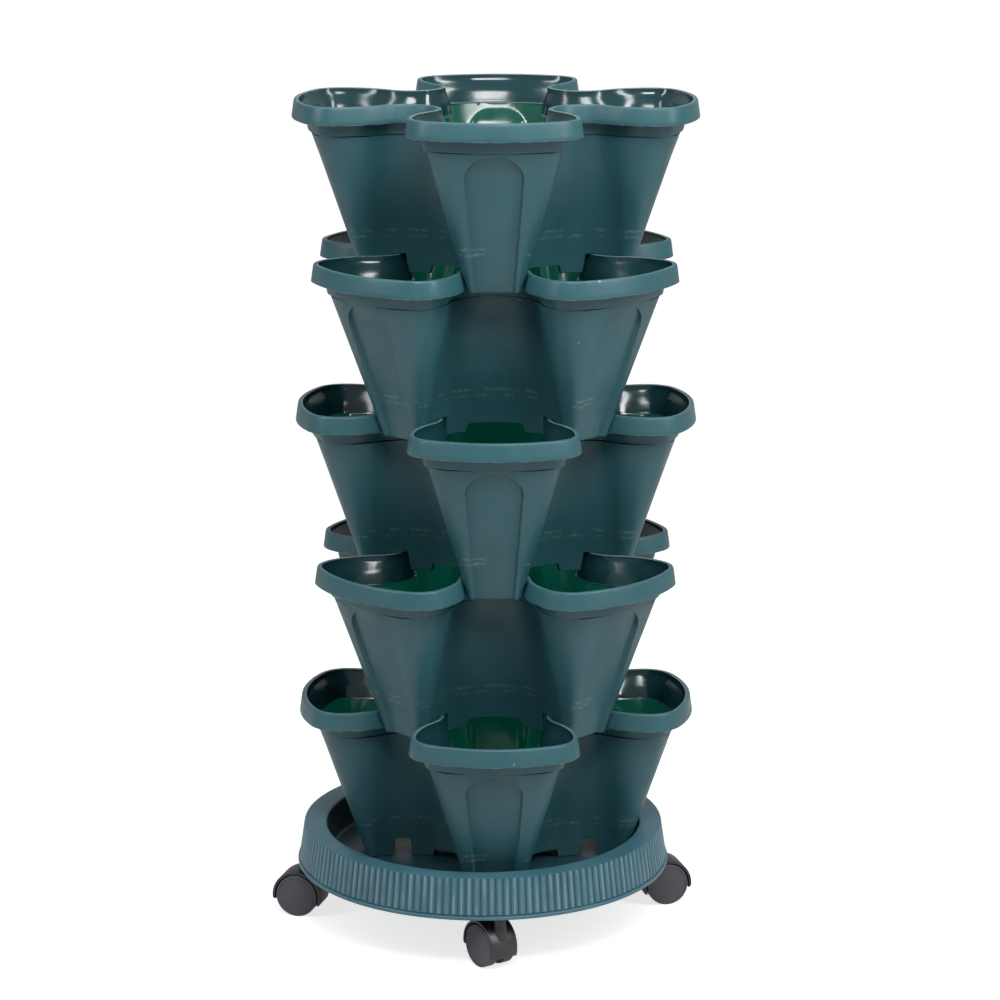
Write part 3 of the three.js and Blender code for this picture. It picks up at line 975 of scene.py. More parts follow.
@dataclass
class Pot:
    """A stacking pot with four petals, an arched panel on each, and slotted feet."""

    rim: Section = Section(0.170, 0.0714, 0.0285, 0.065, 0.1315, 0.073)
    foot: Section = Section(0.1135, 0.02196, 0.006, 0.006, 0.1065, 0.0772)
    petals: int = 4
    storeys: int = 5
    wall: float = 0.0023
    floor_under: float = 0.0164
    floor_top: float = 0.0189
    shoulder_height: float = 0.1185
    shoulder_inset: float = 0.016
    shoulder_corner: tuple[float, float, float] = (0.126, 0.024, 0.0753)
    shoulder_shift: float = 0.005
    collar_inset: float = 0.0133
    collar_shift: float = 0.0035
    rim_inset: float = 0.0061
    arch_apex: float = 0.117
    arch_halves: tuple[float, float] = (0.0145, 0.0223)
    arch_depths: tuple[float, float] = (0.0048, 0.003)
    arch_scoop: float = 0.020
    arch_flare: float = 0.55
    arch_slope: float = 0.0035
    arch_bows: tuple[float, float] = (0.134, 0.149)
    arch_least: float = 0.0005
    arch_clear: float = 0.02
    slot: tuple[float, float, float, float] = (0.07489, 0.07249, 0.08799, 0.08939)
    notch_height: float = 0.008
    notch_widths: tuple[float, float] = (0.045, 0.050)
    notch_corner: float = 0.004
    notch_span: tuple[float, float] = (0.036, 0.062)
    notch_steps: int = 6
    hub_hole: float = 0.0045
    petal_hole: float = 0.0035
    petal_hole_at: float = 0.0975
    hole_steps: int = 24
    overrun: float = 0.003
    slot_rise: float = 0.0003
    floor_margin: float = 0.001
    foot_edge: float = 0.0005
    inner_top: float = 0.1206
    floor_fillet: float = 0.0035
    steps: ArcSteps = ArcSteps()
    body_rows: int = 16
    inner_rows: int = 44
    skirt_rows: int = 8
    fillet_rows: int = 5
    arch_rows: tuple[int, int] = (12, 28)
    arch_columns: int = 8
    crease: float = 30.0

    def waist_shift(self, inset: float) -> float:
        """Gives how far the waist's centre moves out for an inset."""
        if inset <= self.rim_inset:
            return 0.0
        if inset <= self.collar_inset:
            return self.collar_shift * (inset - self.rim_inset) / (self.collar_inset - self.rim_inset)
        share = min(1.0, (inset - self.collar_inset) / (self.shoulder_inset - self.collar_inset))
        return self.collar_shift + (self.shoulder_shift - self.collar_shift) * share

    def rim_level(self, height: float, inset: float) -> Level:
        """Gives a level of the rim, drawn in from the outline of the band's lower edge."""
        return Level(self.rim.stepped(inset, self.waist_shift(inset)).quarter(self.steps), height)

    def body_level(self, height: float, wall: float) -> Level:
        """Gives a level of the tapering body, dented behind the arched panel.

        Args:
            height: Above the foot.
            wall: How far inside the outer face it lies.

        Returns:
            The level.
        """
        foot = self.foot.stepped(wall).quarter(self.steps)
        corner_at, corner_radius, waist_at = self.shoulder_corner
        shoulder = self.rim.stepped(self.shoulder_inset)
        shoulder = replace(shoulder, corner_at=corner_at, corner_radius=corner_radius, waist_at=waist_at)
        top = shoulder.stepped(wall).quarter(self.steps)
        share = height / self.shoulder_height
        points = [low.lerp(high, share) for low, high in zip(foot, top)]
        return Level(self.dented(points, height) if wall > self.wall / 2 else points, height)

    @property
    def lean(self) -> float:
        """The angle that a petal's end leans out at."""
        return math.atan2(self.rim.reach - self.shoulder_inset - self.foot.reach, self.shoulder_height)

    def arch(self, along: float) -> tuple[float, float]:
        """Gives the arched panel's half-width and depth.

        Args:
            along: The distance up the petal's end from its foot.

        Returns:
            The half-width, which is 0 above the apex, and the depth.
        """
        foot_half, top_half = self.arch_halves
        foot_depth, top_depth = self.arch_depths
        apex = self.arch_apex / math.cos(self.lean)
        spring = apex - top_half
        if along < spring:
            half = top_half + (foot_half - top_half) * (spring - along) / spring
        else:
            half = math.sqrt(max(0.0, top_half ** 2 - (along - spring) ** 2))
        share = min(1.0, max(0.0, (apex - along) / self.arch_scoop))
        depth = foot_depth + (top_depth - foot_depth) * along / apex
        return half, depth * share * (2 - share)

    def dented(self, points: list[Vector], height: float) -> list[Vector]:
        """Sinks the inside of the petal's end behind the arched panel.

        Args:
            points: A level's points.
            height: The level's height.

        Returns:
            The points, with those behind the panel moved in.
        """
        half, depth = self.arch(height / math.cos(self.lean))
        moved = []
        for p in points:
            share = min(1.0, max(0.0, 1.0 + (half - abs(p.y)) / self.arch_slope))
            share = 0.0 if p.x < self.slot[2] else share * share * (3 - 2 * share)
            moved.append(Vector((p.x - depth * share, p.y)))
        return moved

    def panel(self) -> bpy.types.Object:
        """Builds the cutter that sinks the arched panel into a petal's end."""
        far = self.arch_clear
        apex = self.arch_apex / math.cos(self.lean)
        spring = apex - self.arch_halves[1]
        low, high = self.arch_rows
        stations = [-self.overrun, *(spring * k / low for k in range(low))]
        stations += [spring + self.arch_halves[1] * math.sin(math.pi / 2 * k / high) for k in range(high + 1)]
        across = [k / self.arch_columns for k in range(-self.arch_columns, self.arch_columns + 1)]
        points = []
        for along in stations:
            half, depth = self.arch(along)
            bow = ((1 - along / apex) / self.arch_bows[0] + along / apex / self.arch_bows[1]) / 2
            depth = max(depth, self.arch_least)
            wide = half + self.arch_flare * (far + depth + bow * half ** 2)
            points += [(-wide, far, along), (wide, far, along)]
            points += [(half * u, -depth - bow * (half * u) ** 2, along) for u in reversed(across)]
        count = len(across) + 2
        last = len(points) - count
        faces = [tuple(range(count))[::-1], tuple(range(last, len(points)))]
        for row in range(0, last, count):
            faces += [
                (row + k, row + (k + 1) % count, row + count + (k + 1) % count, row + count + k)
                for k in range(count)
            ]
        lean, rise = math.sin(self.lean), math.cos(self.lean)
        place = Matrix(((0, rise, lean, self.foot.reach), (1, 0, 0, 0), (0, -lean, rise, 0), (0, 0, 0, 1)))
        return outward(placed(mesh_object("panel", points, faces), place))

    def outer_levels(self) -> list[Level]:
        """Gives the levels from under the floor down the skirt, out and up to the rim's crown."""
        edge = self.foot_edge
        levels = [self.body_level(self.floor_under, self.wall + self.floor_margin)]
        for k in range(self.skirt_rows + 1):
            height = self.floor_under + (edge - self.floor_under) * k / self.skirt_rows
            levels.append(self.body_level(height, self.wall))
        levels.append(self.body_level(0.0, self.wall - edge))
        levels.append(self.body_level(0.0, edge))
        for k in range(self.body_rows + 1):
            levels.append(self.body_level(edge + (self.shoulder_height - edge) * k / self.body_rows, 0.0))
        ledge = [(0.1189, 0.0156), (0.1193, 0.0146), (0.1197, 0.0137), (0.1202, 0.0134), (0.1212, 0.0132)]
        collar = [(0.1230, 0.0128), (0.1255, 0.0122), (0.1280, 0.0116), (0.1300, 0.0111), (0.1318, 0.0103)]
        hollow = [(0.1335, 0.0091), (0.1350, 0.0077), (0.1360, 0.0064), (0.1364, 0.0054), (0.1364, 0.0043)]
        lip = [(0.1358, 0.0034), (0.1330, 0.0027), (0.1303, 0.0022), (0.1300, 0.0019), (0.1300, 0.0004)]
        band = [(0.13015, 0.0001), (0.1305, 0.0), (0.1340, 0.0005), (0.1390, 0.0012), (0.1434, 0.0019)]
        crown = [(0.1441, 0.0021), (0.1446, 0.0025), (0.1449, 0.0032), (0.1449, 0.0050)]
        return levels + [self.rim_level(*entry) for entry in ledge + collar + hollow + lip + band + crown]

    def inner_levels(self) -> list[Level]:
        """Gives the levels from the rim's inner edge down to the floor."""
        rim = [(0.14475, 0.0056), (0.1444, 0.0060), (0.1438, 0.0061), (0.1412, 0.0063), (0.1390, 0.0076)]
        slope = [(0.1360, 0.0096), (0.1330, 0.0116), (0.1300, 0.0132), (0.1260, 0.0147), (0.1232, 0.0157)]
        ledge = [(0.1220, 0.0160), (0.1214, 0.0165), (0.1210, 0.0172)]
        levels = [self.rim_level(*entry) for entry in rim + slope + ledge]
        top, fillet = self.inner_top, self.floor_fillet
        bottom = self.floor_top + fillet
        for k in range(self.inner_rows + 1):
            levels.append(self.body_level(top + (bottom - top) * k / self.inner_rows, self.wall))
        for k in range(1, self.fillet_rows + 1):
            angle = math.pi / 2 * k / self.fillet_rows
            height = bottom - fillet * math.sin(angle)
            levels.append(self.body_level(height, self.wall + fillet * (1 - math.cos(angle))))
        return [*levels, self.body_level(self.floor_top, self.wall + fillet + self.floor_margin)]

    def quarter_mesh(self, levels: list[Level], name: str) -> bpy.types.Object:
        """Skins a quarter of the pot and floors its first and last level.

        Args:
            levels: The levels in order.
            name: The object's name.

        Returns:
            The quarter's skin, open at the two diagonals.
        """
        count = len(levels[0].points)
        points = [(p.x, p.y, level.height) for level in levels for p in level.points]
        faces = []
        for row in range(len(levels) - 1):
            here, above = row * count, (row + 1) * count
            faces += [(here + k, here + k + 1, above + k + 1, above + k) for k in range(count - 1)]
        for row in (0, len(levels) - 1):
            points.append((0.0, 0.0, levels[row].height))
            floor = [*range(row * count, (row + 1) * count), len(points) - 1]
            faces.append(floor if row else floor[::-1])
        return mesh_object(name, points, faces)

    def cutters(self) -> bpy.types.Object:
        """Builds what is cut from one quarter: foot slot, hub notch and drain hole."""
        inner_top, inner_foot, outer_top, outer_foot = self.slot
        low = -self.overrun
        high = self.floor_under + self.slot_rise
        slope_in = inner_foot + (inner_foot - inner_top) * self.overrun / high
        slope_out = outer_foot + (outer_foot - outer_top) * self.overrun / high
        outline = [(slope_in, low), (slope_out, low), (outer_top, high), (inner_top, high)]
        reach = self.foot.half_width + self.overrun
        slot = extruded("slot", outline, -reach, reach)
        top, bottom = (width / 2 for width in self.notch_widths)
        wide = bottom + (bottom - top) * self.overrun / self.notch_height
        notch = extruded("notch", rounded([
            (-wide, low, 0.0),
            (-top, self.notch_height, self.notch_corner),
            (top, self.notch_height, self.notch_corner),
            (wide, low, 0.0),
        ], self.notch_steps), *self.notch_span)
        placed(notch, Matrix.Rotation(-math.pi / self.petals, 4, "Z"))
        hole = placed(self.drain("hole", self.petal_hole), Matrix.Translation((self.petal_hole_at, 0.0, 0.0)))
        return joined("pot_cutters", [slot, notch, hole])

    def drain(self, name: str, radius: float) -> bpy.types.Object:
        """Builds the cutter of one round drain hole on the pot's axis."""
        low, high = self.floor_under - self.overrun, self.floor_top + self.overrun
        return drill(name, radius, low, high, self.hole_steps)

    def tree(self) -> bpy.types.NodeTree:
        """Builds the tree that repeats a petal about the hub and cuts its feet."""
        work = GeometryTree("petals_about_a_hub")
        petals = work.input("Petals", "NodeSocketInt")
        weld = work.input("Weld", "NodeSocketFloat")
        panel = work.object("Panel")
        cutters = work.object("Cutters")
        hub_drain = work.object("Hub drain")
        round_hub = work.around(work.geometry, petals)
        skin = work.node("GeometryNodeMergeByDistance", Geometry=round_hub, Distance=weld).outputs[0]
        sunk = work.boolean(Cut.REMOVE, skin, work.around(panel, petals))
        footed = work.boolean(Cut.REMOVE, sunk, work.around(cutters, petals))
        return work.close(work.boolean(Cut.REMOVE, footed, hub_drain))

    def mark_inside(self, pot: bpy.types.Object, outer: list[Level], inner: list[Level]) -> None:
        """Stores each vertex's place on the pot and whether it lies inside the pot.

        Args:
            pot: The pot's mesh, standing on the origin.
            outer: The outside's levels.
            inner: The inside's levels.
        """
        trees = []
        for levels, extra in ((outer, [self.panel()]), (inner, [])):
            skin = joined("skin", [self.quarter_mesh(levels, "levels"), *extra])
            trees.append(BVHTree.FromPolygons(
                [v.co for v in skin.data.vertices],
                [tuple(p.vertices) for p in skin.data.polygons],
            ))
            discard(skin)
        turn = FULL_TURN / self.petals
        flags = []
        places = []
        for vertex in pot.data.vertices:
            quarter = round(math.atan2(vertex.co.y, vertex.co.x) / turn)
            local = Matrix.Rotation(-quarter * turn, 3, "Z") @ vertex.co
            distances = [tree.find_nearest(local)[3] for tree in trees]
            flags.append(1.0 if distances[1] < distances[0] else 0.0)
            places += vertex.co[:]
        pot.data.attributes.new("inner", "FLOAT", "POINT").data.foreach_set("value", flags)
        pot.data.attributes.new("pot_place", "FLOAT_VECTOR", "POINT").data.foreach_set("vector", places)

    def build(self, finish: bpy.types.Material) -> None:
        """Builds all the pots where the frame has them.

        Args:
            finish: The pots' material.
        """
        outer = self.outer_levels()
        inner = self.inner_levels()
        master = outward_quarter(self.quarter_mesh(outer + inner, "pot_master"))
        panel = self.panel()
        cutters = self.cutters()
        hub_drain = self.drain("hub_drain", self.hub_hole)
        grown(master, self.tree(), {
            "Petals": self.petals,
            "Weld": WELD,
            "Panel": panel,
            "Cutters": cutters,
            "Hub drain": hub_drain,
            "Finish": finish,
        })
        discard(panel, cutters, hub_drain)
        self.mark_inside(outward(master), outer, inner)
        smooth(master, self.crease)
        for number in range(1, self.storeys + 1):
            node = f"pot_{number}"
            low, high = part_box(node)
            turn = ((self.storeys - number) % 2) * math.pi / self.petals
            middle = (low + high) / 2
            place = Matrix.Translation((middle.x, middle.y, low.z)) @ Matrix.Rotation(turn, 4, "Z")
            mount(placed(copied(master, f"petal_pot_{number}"), place), node, node)
        discard(master)


def outward_quarter(quarter: bpy.types.Object) -> bpy.types.Object:
    """Turns a quarter skin's faces outwards by the side that its rim's band faces."""
    mesh = quarter.data
    mesh.update()
    farthest = max(mesh.polygons, key=lambda face: face.center.x)
    if farthest.normal.x < 0:
        mesh.flip_normals()
    return quarter


# The saucer


@dataclass
class Saucer:
    """A round saucer with a broad hollow rim, a reeded fascia and four caster sockets."""

    bottom: float = 0.0482
    lip_radius: float = 0.1618
    lip_height: float = 0.0032
    groove_height: float = 0.0010
    groove_radius: float = 0.1594
    fascia_foot: float = 0.1605
    fascia_top: float = 0.1559
    fascia_height: float = 0.031
    flutes: int = 156
    flute_facets: int = 8
    flute_depth: float = 0.0011
    flute_margins: tuple[float, float, float] = (0.0002, 0.0004, 0.0012)
    wall: float = 0.0025
    floor_rise: float = 0.0038
    rim_fall: float = 0.001
    well_top: float = 0.1365
    well_foot: float = 0.133
    well_wall: float = 0.0022
    well_fillet: float = 0.004
    well_round: float = 0.0022
    fascia_round: float = 0.0012
    foot_round: float = 0.0004
    groove_round: float = 0.0002
    lip_round: float = 0.0010
    lip_foot_rounds: tuple[float, float] = (0.0009, 0.0007)
    lip_fillet: float = 0.001
    hollow_round: float = 0.0015
    draft: float = 0.001
    casters: int = 4
    caster_circle: float = 0.147
    caster_turn: float = math.radians(6.2)
    stem_radius: float = 0.003
    socket_wall: float = 0.0034
    running_gap: float = 0.0004
    socket_round: float = 0.0008
    socket_steps: int = 48
    bore_steps: int = 40
    stem_top: float = 0.0766
    ribs: int = 8
    rib_width: float = 0.002
    rib_height: float = 0.0034
    rib_start: float = 0.030
    overrun: float = 0.002
    crease: float = 28.0

    def profile(self) -> Profile:
        """Gives the saucer's section, from the middle of its floor out and back under."""
        floor, fascia = self.floor, self.fascia
        top = fascia + self.fascia_height
        lip = self.bottom + self.lip_height
        inside = self.lip_radius - self.wall
        outer_round, inner_round = self.lip_foot_rounds
        return rounded([
            (0.0, floor + self.wall, 0.0),
            (self.well_foot, floor + self.wall, self.well_fillet),
            (self.well_top, top - self.rim_fall, self.well_round),
            (self.fascia_top, top, self.fascia_round),
            (self.fascia_foot, fascia, self.foot_round),
            (self.groove_radius, fascia - self.groove_round, self.groove_round),
            (self.groove_radius, lip, self.groove_round),
            (self.lip_radius, lip, self.lip_round),
            (self.lip_radius, self.bottom, outer_round),
            (inside, self.bottom, inner_round),
            (inside - self.draft, lip, self.lip_fillet),
            (self.fascia_top - self.wall - self.draft, top - self.wall, self.hollow_round),
            (self.well_top + self.wall, top - self.rim_fall - self.wall, self.hollow_round),
            (self.well_foot + self.well_wall, floor, self.hollow_round),
            (0.0, floor, 0.0),
        ])

    def tree(self) -> bpy.types.NodeTree:
        """Builds the tree that reeds the fascia, adds ribs and sockets below, and stores the masks that place
        the painted groove shade, crest highlights and well shade.
        """
        work = GeometryTree("reeded_saucer")
        count = work.input("Flutes", "NodeSocketInt")
        depth = work.input("Depth", "NodeSocketFloat")
        low = work.input("Low", "NodeSocketFloat")
        high = work.input("High", "NodeSocketFloat")
        least = work.input("Least radius", "NodeSocketFloat")
        rib_count = work.input("Ribs", "NodeSocketInt")
        socket_count = work.input("Sockets", "NodeSocketInt")
        ribs = work.around(work.object("Rib"), rib_count)
        sockets = work.around(work.object("Socket"), socket_count)
        bores = work.around(work.object("Bore"), socket_count)
        well = work.input("Well radius", "NodeSocketFloat")
        here = work.node("GeometryNodeInputPosition").outputs[0]
        x, y, z = work.node("ShaderNodeSeparateXYZ", Vector=here).outputs
        radius = work.math("SQRT", work.math("ADD", work.math("POWER", x, 2.0), work.math("POWER", y, 2.0)))
        phase = work.product(work.math("ARCTAN2", y, x), work.math("DIVIDE", count, 2.0))
        reed = work.math("SUBTRACT", work.math("ABSOLUTE", work.math("SINE", phase)), 1.0)
        inside = work.product(work.math("GREATER_THAN", z, low), work.math("LESS_THAN", z, high))
        shown = work.product(inside, work.math("GREATER_THAN", radius, least))
        share = work.math("DIVIDE", work.product(reed, depth, shown), work.math("MAXIMUM", radius, WELD))
        offset = work.node("ShaderNodeCombineXYZ", X=work.product(x, share), Y=work.product(y, share))
        # Masks for the painted shade in the grooves and the well, and for the painted crest highlights.
        marks = {
            "fluted": shown,
            "groove": work.product(reed, -1.0, shown),
            "well": work.math("LESS_THAN", radius, well),
        }
        reeded = work.node("GeometryNodeSetPosition", Geometry=work.geometry, Offset=offset.outputs[0])
        whole = work.boolean(Cut.JOIN, work.boolean(Cut.JOIN, reeded.outputs[0], ribs), sockets)
        marked = work.boolean(Cut.REMOVE, whole, bores)
        for name, value in marks.items():
            store = work.node("GeometryNodeStoreNamedAttribute", Geometry=marked, Name=name, Value=value)
            marked = store.outputs[0]
        return work.close(marked)

    @property
    def floor(self) -> float:
        """The height of the floor's underside."""
        return self.bottom + self.floor_rise

    @property
    def fascia(self) -> float:
        """The height of the fascia's foot."""
        return self.bottom + self.lip_height + self.groove_height

    def build(self, finish: bpy.types.Material) -> None:
        """Builds the saucer where the frame has it.

        Args:
            finish: The saucer's material.
        """
        floor, fascia = self.floor, self.fascia
        top = fascia + self.fascia_height
        saucer = turned("fluted_saucer", self.profile(), self.flutes * self.flute_facets)
        half = self.rib_width / 2
        rib_outline = [
            (self.rib_start, floor - self.rib_height),
            (self.well_foot, floor - self.rib_height),
            (self.well_foot, floor + self.wall / 2),
            (self.rib_start, floor + self.wall / 2),
        ]
        rib = extruded("rib", rib_outline, -half, half)
        outer = self.stem_radius + self.socket_wall
        bore = self.stem_radius + self.running_gap
        socket_top = top - self.rim_fall - self.wall / 2
        at = Matrix.Rotation(self.caster_turn, 4, "Z") @ Matrix.Translation((self.caster_circle, 0.0, 0.0))
        socket = placed(turned("socket", rounded([
            (0.0, self.bottom, 0.0),
            (outer, self.bottom, self.socket_round),
            (outer, socket_top, 0.0),
            (0.0, socket_top, 0.0),
        ]), self.socket_steps), at)
        low = self.bottom - self.overrun
        hole = placed(drill("bore", bore, low, self.stem_top, self.bore_steps), at)
        foot_margin, top_margin, inner_margin = self.flute_margins
        grown(saucer, self.tree(), {
            "Flutes": self.flutes,
            "Depth": self.flute_depth,
            "Low": fascia + foot_margin,
            "High": top - top_margin,
            "Least radius": self.fascia_top - inner_margin,
            "Well radius": self.well_top,
            "Ribs": self.ribs,
            "Sockets": self.casters,
            "Rib": rib,
            "Socket": socket,
            "Bore": hole,
            "Finish": finish,
        })
        discard(rib, socket, hole)
        low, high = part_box("saucer")
        middle = (low + high) / 2
        placed(outward(saucer), Matrix.Translation((middle.x, middle.y, 0.0)))
        mount(smooth(saucer, self.crease), "saucer", "saucer")


# The casters


@dataclass
class Caster:
    """A twin-wheel caster; in its own frame the stem stands on the origin and the wheels trail along +X."""

    name: str
    heading: float
    trail: float = 0.014
    wheel_radius: float = 0.0185
    wheel_width: float = 0.0092
    web: float = 0.0066
    hood_radius: float = 0.0219
    hood_wall: float = 0.0021
    hood_tail: float = math.radians(-8)
    hood_nose: float = math.radians(200)
    web_half: float = 0.009
    web_drop: float = 0.009
    gap: float = 0.0004
    edge: float = 0.0005
    boss_radius: float = 0.0049
    boss_flare: float = 0.0076
    boss_foot: float = 0.0275
    boss_shoulder: float = 0.0392
    boss_top: float = 0.0479
    boss_taper: float = 0.0003
    boss_fillet: float = 0.005
    boss_round: float = 0.0006
    stem_bore: float = 0.0033
    stem_hole: tuple[float, float] = (0.038, 0.05)
    axle_bore: float = 0.0023
    axle_reach: float = 0.006
    hub_bore: float = 0.0024
    hub_depth: float = 0.0063
    hub_round: float = 0.0003
    rim_rounds: tuple[float, float] = (0.0008, 0.0016)
    disc_groove: tuple[float, float, float, float] = (0.0166, 0.0164, 0.0159, 0.0157)
    disc_crown: float = 0.0001
    disc_round: float = 0.0002
    groove_depth: float = 0.0004
    groove_round: float = 0.0001
    overrun: float = 0.002
    arc_steps: int = 56
    hollow_steps: int = 96
    boss_steps: int = 48
    stem_steps: int = 40
    axle_steps: int = 32
    wheel_steps: int = 72
    boss_corner_steps: int = 6
    wheel_corner_steps: int = 5
    edge_crease: float = 50.0
    hood_crease: float = 32.0
    wheel_crease: float = 30.0

    def outline(self, radius: float) -> Profile:
        """Gives the hood's side view, round the axle."""
        sweep = self.hood_nose - self.hood_tail
        arc = [self.hood_tail + sweep * k / self.arc_steps for k in range(self.arc_steps + 1)]
        points = [(radius * math.cos(a), radius * math.sin(a)) for a in arc]
        return [*points, (-self.web_half, -self.web_drop), (self.web_half, -self.web_drop)]

    def hood(self) -> bpy.types.Object:
        """Builds the hood with the web between its wheels and the boss of its stem."""
        half = self.web / 2 + self.wheel_width + self.gap
        centre = Matrix.Translation((self.trail, 0.0, self.wheel_radius))
        body = placed(extruded("hood", self.outline(self.hood_radius), -half, half), centre)
        bevelled(body, self.edge, self.edge_crease)
        boss = turned("boss", rounded([
            (0.0, self.boss_foot, 0.0),
            (self.boss_flare, self.boss_foot, 0.0),
            (self.boss_radius + self.boss_taper, self.boss_shoulder, self.boss_fillet),
            (self.boss_radius, self.boss_top, self.boss_round),
            (0.0, self.boss_top, 0.0),
        ], self.boss_corner_steps), self.boss_steps)
        cut(body, boss, Cut.JOIN)
        inside = self.hood_radius - self.hood_wall
        ring = [FULL_TURN * k / self.hollow_steps for k in range(self.hollow_steps)]
        circle = [(inside * math.cos(a), inside * math.sin(a)) for a in ring]
        for side in (-1, 1):
            near, far = sorted((side * self.web / 2, side * (half + self.overrun)))
            cut(body, placed(extruded("hollow", circle, near, far), centre), Cut.REMOVE)
        cut(body, drill("stem_hole", self.stem_bore, *self.stem_hole, self.stem_steps), Cut.REMOVE)
        axle_hole = drill("axle_hole", self.axle_bore, -self.axle_reach, self.axle_reach, self.axle_steps)
        cut(body, placed(axle_hole, centre @ Matrix.Rotation(math.pi / 2, 4, "X")), Cut.REMOVE)
        return smooth(outward(body), self.hood_crease)

    def wheel(self) -> bpy.types.Object:
        """Builds one wheel on its own axis, with its outer face up Z."""
        inner, outer = -self.wheel_width / 2, self.wheel_width / 2
        blind = inner + self.hub_depth
        inner_round, outer_round = self.rim_rounds
        first, second, third, fourth = self.disc_groove
        return turned("wheel", rounded([
            (0.0, blind, 0.0),
            (self.hub_bore, blind, 0.0),
            (self.hub_bore, inner, self.hub_round),
            (self.wheel_radius, inner, inner_round),
            (self.wheel_radius, outer, outer_round),
            (first, outer, self.disc_round),
            (second, outer - self.groove_depth, self.groove_round),
            (third, outer - self.groove_depth, self.groove_round),
            (fourth, outer - self.disc_crown, self.disc_round),
            (0.0, outer + self.disc_crown, 0.0),
        ], self.wheel_corner_steps), self.wheel_steps)

    def build(self, shell: bpy.types.Material, disc: bpy.types.Material, pin: bpy.types.Material) -> None:
        """Builds the caster where the frame has it.

        Args:
            shell: The hood's material.
            disc: The wheels' material.
            pin: The stem's and axle's material.
        """
        low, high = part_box(f"{self.name}_caster_stem")
        middle = (low + high) / 2
        place = Matrix.Translation((middle.x, middle.y, 0.0)) @ Matrix.Rotation(self.heading, 4, "Z")
        body = f"{self.name}_caster"
        hood = placed(self.hood(), place)
        hood.name = f"{self.name}_hood"
        mount(dress(hood, shell), body, f"{self.name}_caster_hood")
        for label, side in (("near", -1), ("far", 1)):
            node = f"{self.name}_caster_{label}_wheel"
            shift = side * (self.web / 2 + self.gap + self.wheel_width / 2)
            spot = Matrix.Translation((self.trail, shift, self.wheel_radius))
            wheel = placed(self.wheel(), place @ spot @ Matrix.Rotation(-side * math.pi / 2, 4, "X"))
            wheel.name = f"{self.name}_{label}_wheel"
            smooth(outward(wheel), self.wheel_crease)
            mount(dress(wheel, disc), node, node)
        for part in ("stem", "axle"):
            dress(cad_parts[f"{self.name}_caster_{part}"], pin)


# The studio


@dataclass(frozen=True)
class Softbox:
    """A soft rectangular light."""

    name: str
    spot: tuple[float, float, float]
    size: tuple[float, float]
    watts: float


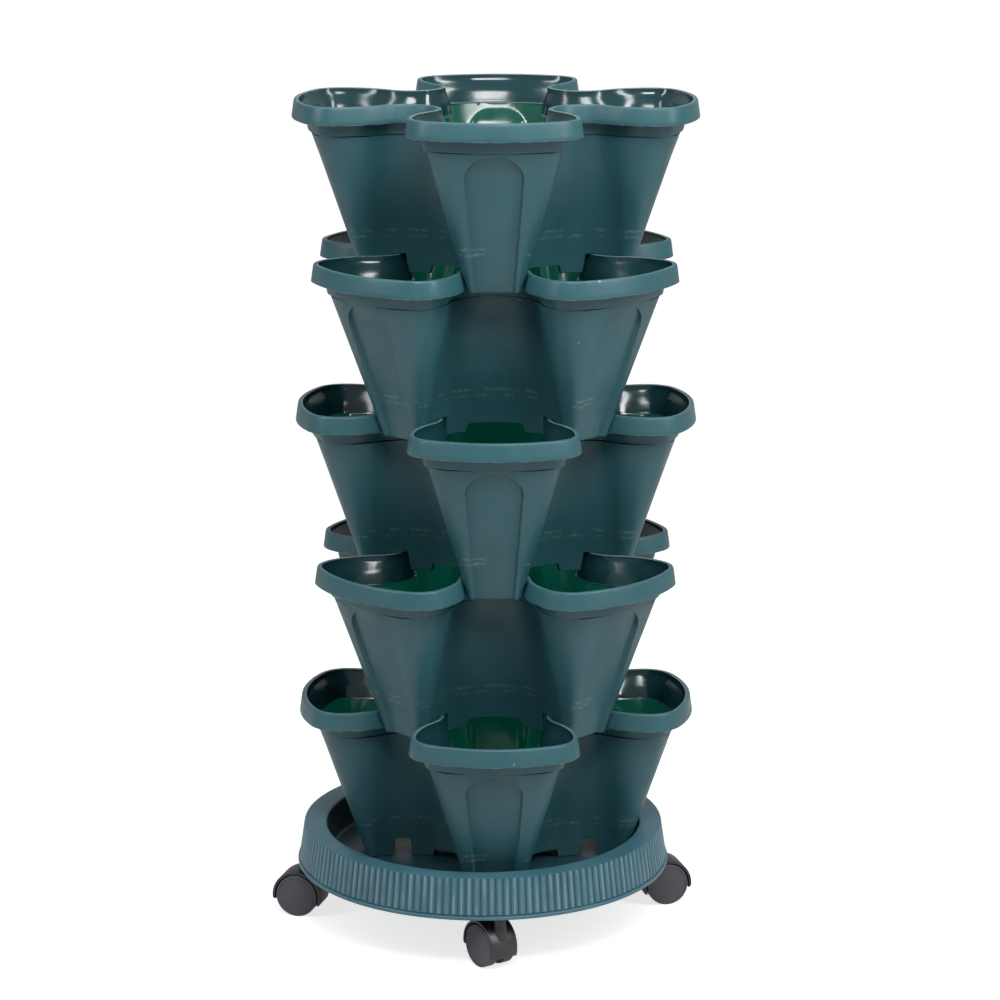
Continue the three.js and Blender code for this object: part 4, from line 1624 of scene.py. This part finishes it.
@dataclass
class Studio:
    """A pale floor, a white surround, four soft lights and the camera."""

    tower: tuple[float, float] = (0.0115, -0.00786)
    distance: float = 2.8489
    eye_height: float = 1.070
    pitch: float = math.radians(13.804)
    swing: float = math.radians(0.55)
    pan: float = math.radians(-0.070)
    lens: float = 123.45
    sensor: float = 36.0
    floor_half: float = 30.0
    floor_tone: float = 0.5
    floor_roughness: float = 0.9
    floor_glow: float = 0.75
    glow_reach: tuple[float, float] = (0.6, 4.0)
    ambient: float = 0.03
    aim: tuple[float, float, float] = (0.0, 0.0, 0.72)
    softboxes: tuple[Softbox, ...] = (
        Softbox("right_softbox", (1.6, -0.95, 1.8), (0.35, 1.9), 38.0),
        Softbox("left_softbox", (-1.7, -0.95, 1.8), (0.35, 1.9), 25.0),
        Softbox("front_softbox", (0.2, -1.5, 1.9), (0.9, 0.6), 31.0),
        Softbox("top_softbox", (0.0, 0.2, 2.2), (1.2, 0.9), 12.0),
    )

    def camera(self) -> None:
        """Sets the camera at the photograph's viewing angle."""
        data = bpy.data.cameras.new("camera")
        data.lens = self.lens
        data.sensor_width = self.sensor
        eye = linked("camera", data)
        eye.location = (
            self.tower[0] + self.distance * math.sin(self.swing),
            self.tower[1] - self.distance * math.cos(self.swing),
            self.eye_height,
        )
        eye.rotation_euler = (math.pi / 2 - self.pitch, 0.0, self.swing + self.pan)
        bpy.context.scene.camera = eye

    def lamp(self, softbox: Softbox) -> None:
        """Adds a soft light aimed at the tower's top."""
        data = bpy.data.lights.new(softbox.name, "AREA")
        data.shape = "RECTANGLE"
        data.size, data.size_y = softbox.size
        data.energy = softbox.watts
        light = linked(softbox.name, data)
        light.location = softbox.spot
        aim = Vector(self.aim) - Vector(softbox.spot)
        light.rotation_euler = aim.to_track_quat("-Z", "Y").to_euler()

    def floor(self) -> None:
        """Adds the floor, white to the camera, dimmer in reflections and pale to other rays."""
        half = self.floor_half
        corners = [(-half, -half, 0), (half, -half, 0), (half, half, 0), (-half, half, 0)]
        floor = mesh_object("floor", corners, [(0, 1, 2, 3)])
        bench = Bench("pale_floor")
        far = bench.node("ShaderNodeVectorMath", {"operation": "LENGTH"}, in_0=bench.place())
        white = bench.ramp(far.outputs["Value"], *self.glow_reach, self.floor_glow, 1.0)
        bench.set(
            Base_Color=(self.floor_tone, self.floor_tone, self.floor_tone, 1.0),
            Roughness=self.floor_roughness,
            Emission_Color=(1.0, 1.0, 1.0, 1.0),
            Emission_Strength=bench.product(bench.background_rays(), white),
        )
        dress(floor, bench.material)

    def world(self) -> None:
        """Sets a soft even surround that the camera sees as white."""
        world = bpy.data.worlds.new("surround")
        bpy.context.scene.world = world
        world.use_nodes = True
        bench = ShaderBench(world.node_tree)
        strength = bench.ramp(bench.background_rays(), 0.0, 1.0, self.ambient, 1.0)
        background = world.node_tree.nodes["Background"].inputs
        bench.feed(background["Color"], (1.0, 1.0, 1.0, 1.0))
        bench.feed(background["Strength"], strength)

    def build(self) -> None:
        """Builds the floor, the surround, the lights and the camera."""
        self.floor()
        self.world()
        for softbox in self.softboxes:
            self.lamp(softbox)
        self.camera()
        bpy.context.scene.view_settings.view_transform = "Standard"


def main() -> None:
    """Builds the tower's looks in order and reports each piece."""
    logging.basicConfig(level=logging.INFO, format="%(message)s")
    Studio().build()
    patterns = Patterns()
    pot_plastic = PotFinish().material(patterns)
    # The saucer's plastic paints shade into its grooves and well and highlights onto its reeds' crests.
    saucer_plastic = MouldedFinish(
        "satin_blue_teal_polypropylene", colour=(0.040, 0.124, 0.164), bloom=(0.055, 0.150, 0.195),
        roughness=0.36, grain_size=0.0007, grain_depth=0.00005, groove=(0.008, 0.026, 0.034),
    ).material(patterns)
    hood_plastic = MouldedFinish(
        "satin_black_nylon", colour=(0.022, 0.021, 0.025), bloom=(0.030, 0.029, 0.034),
        roughness=0.40, grain_size=0.0006, grain_depth=0.00005,
    ).material(patterns)
    disc_plastic = MouldedFinish(
        "textured_grey_nylon", colour=(0.055, 0.053, 0.066), bloom=(0.070, 0.067, 0.082),
        roughness=0.52, grain_size=0.0009, grain_depth=0.00012,
    ).material(patterns)
    steel = SteelFinish().material()
    Saucer().build(saucer_plastic)
    Pot().build(pot_plastic)
    for name, degrees in (("front", 125), ("right", 15), ("back", 100), ("left", 165)):
        Caster(name, math.radians(degrees)).build(hood_plastic, disc_plastic, steel)


if __name__ == "__main__":
    main()
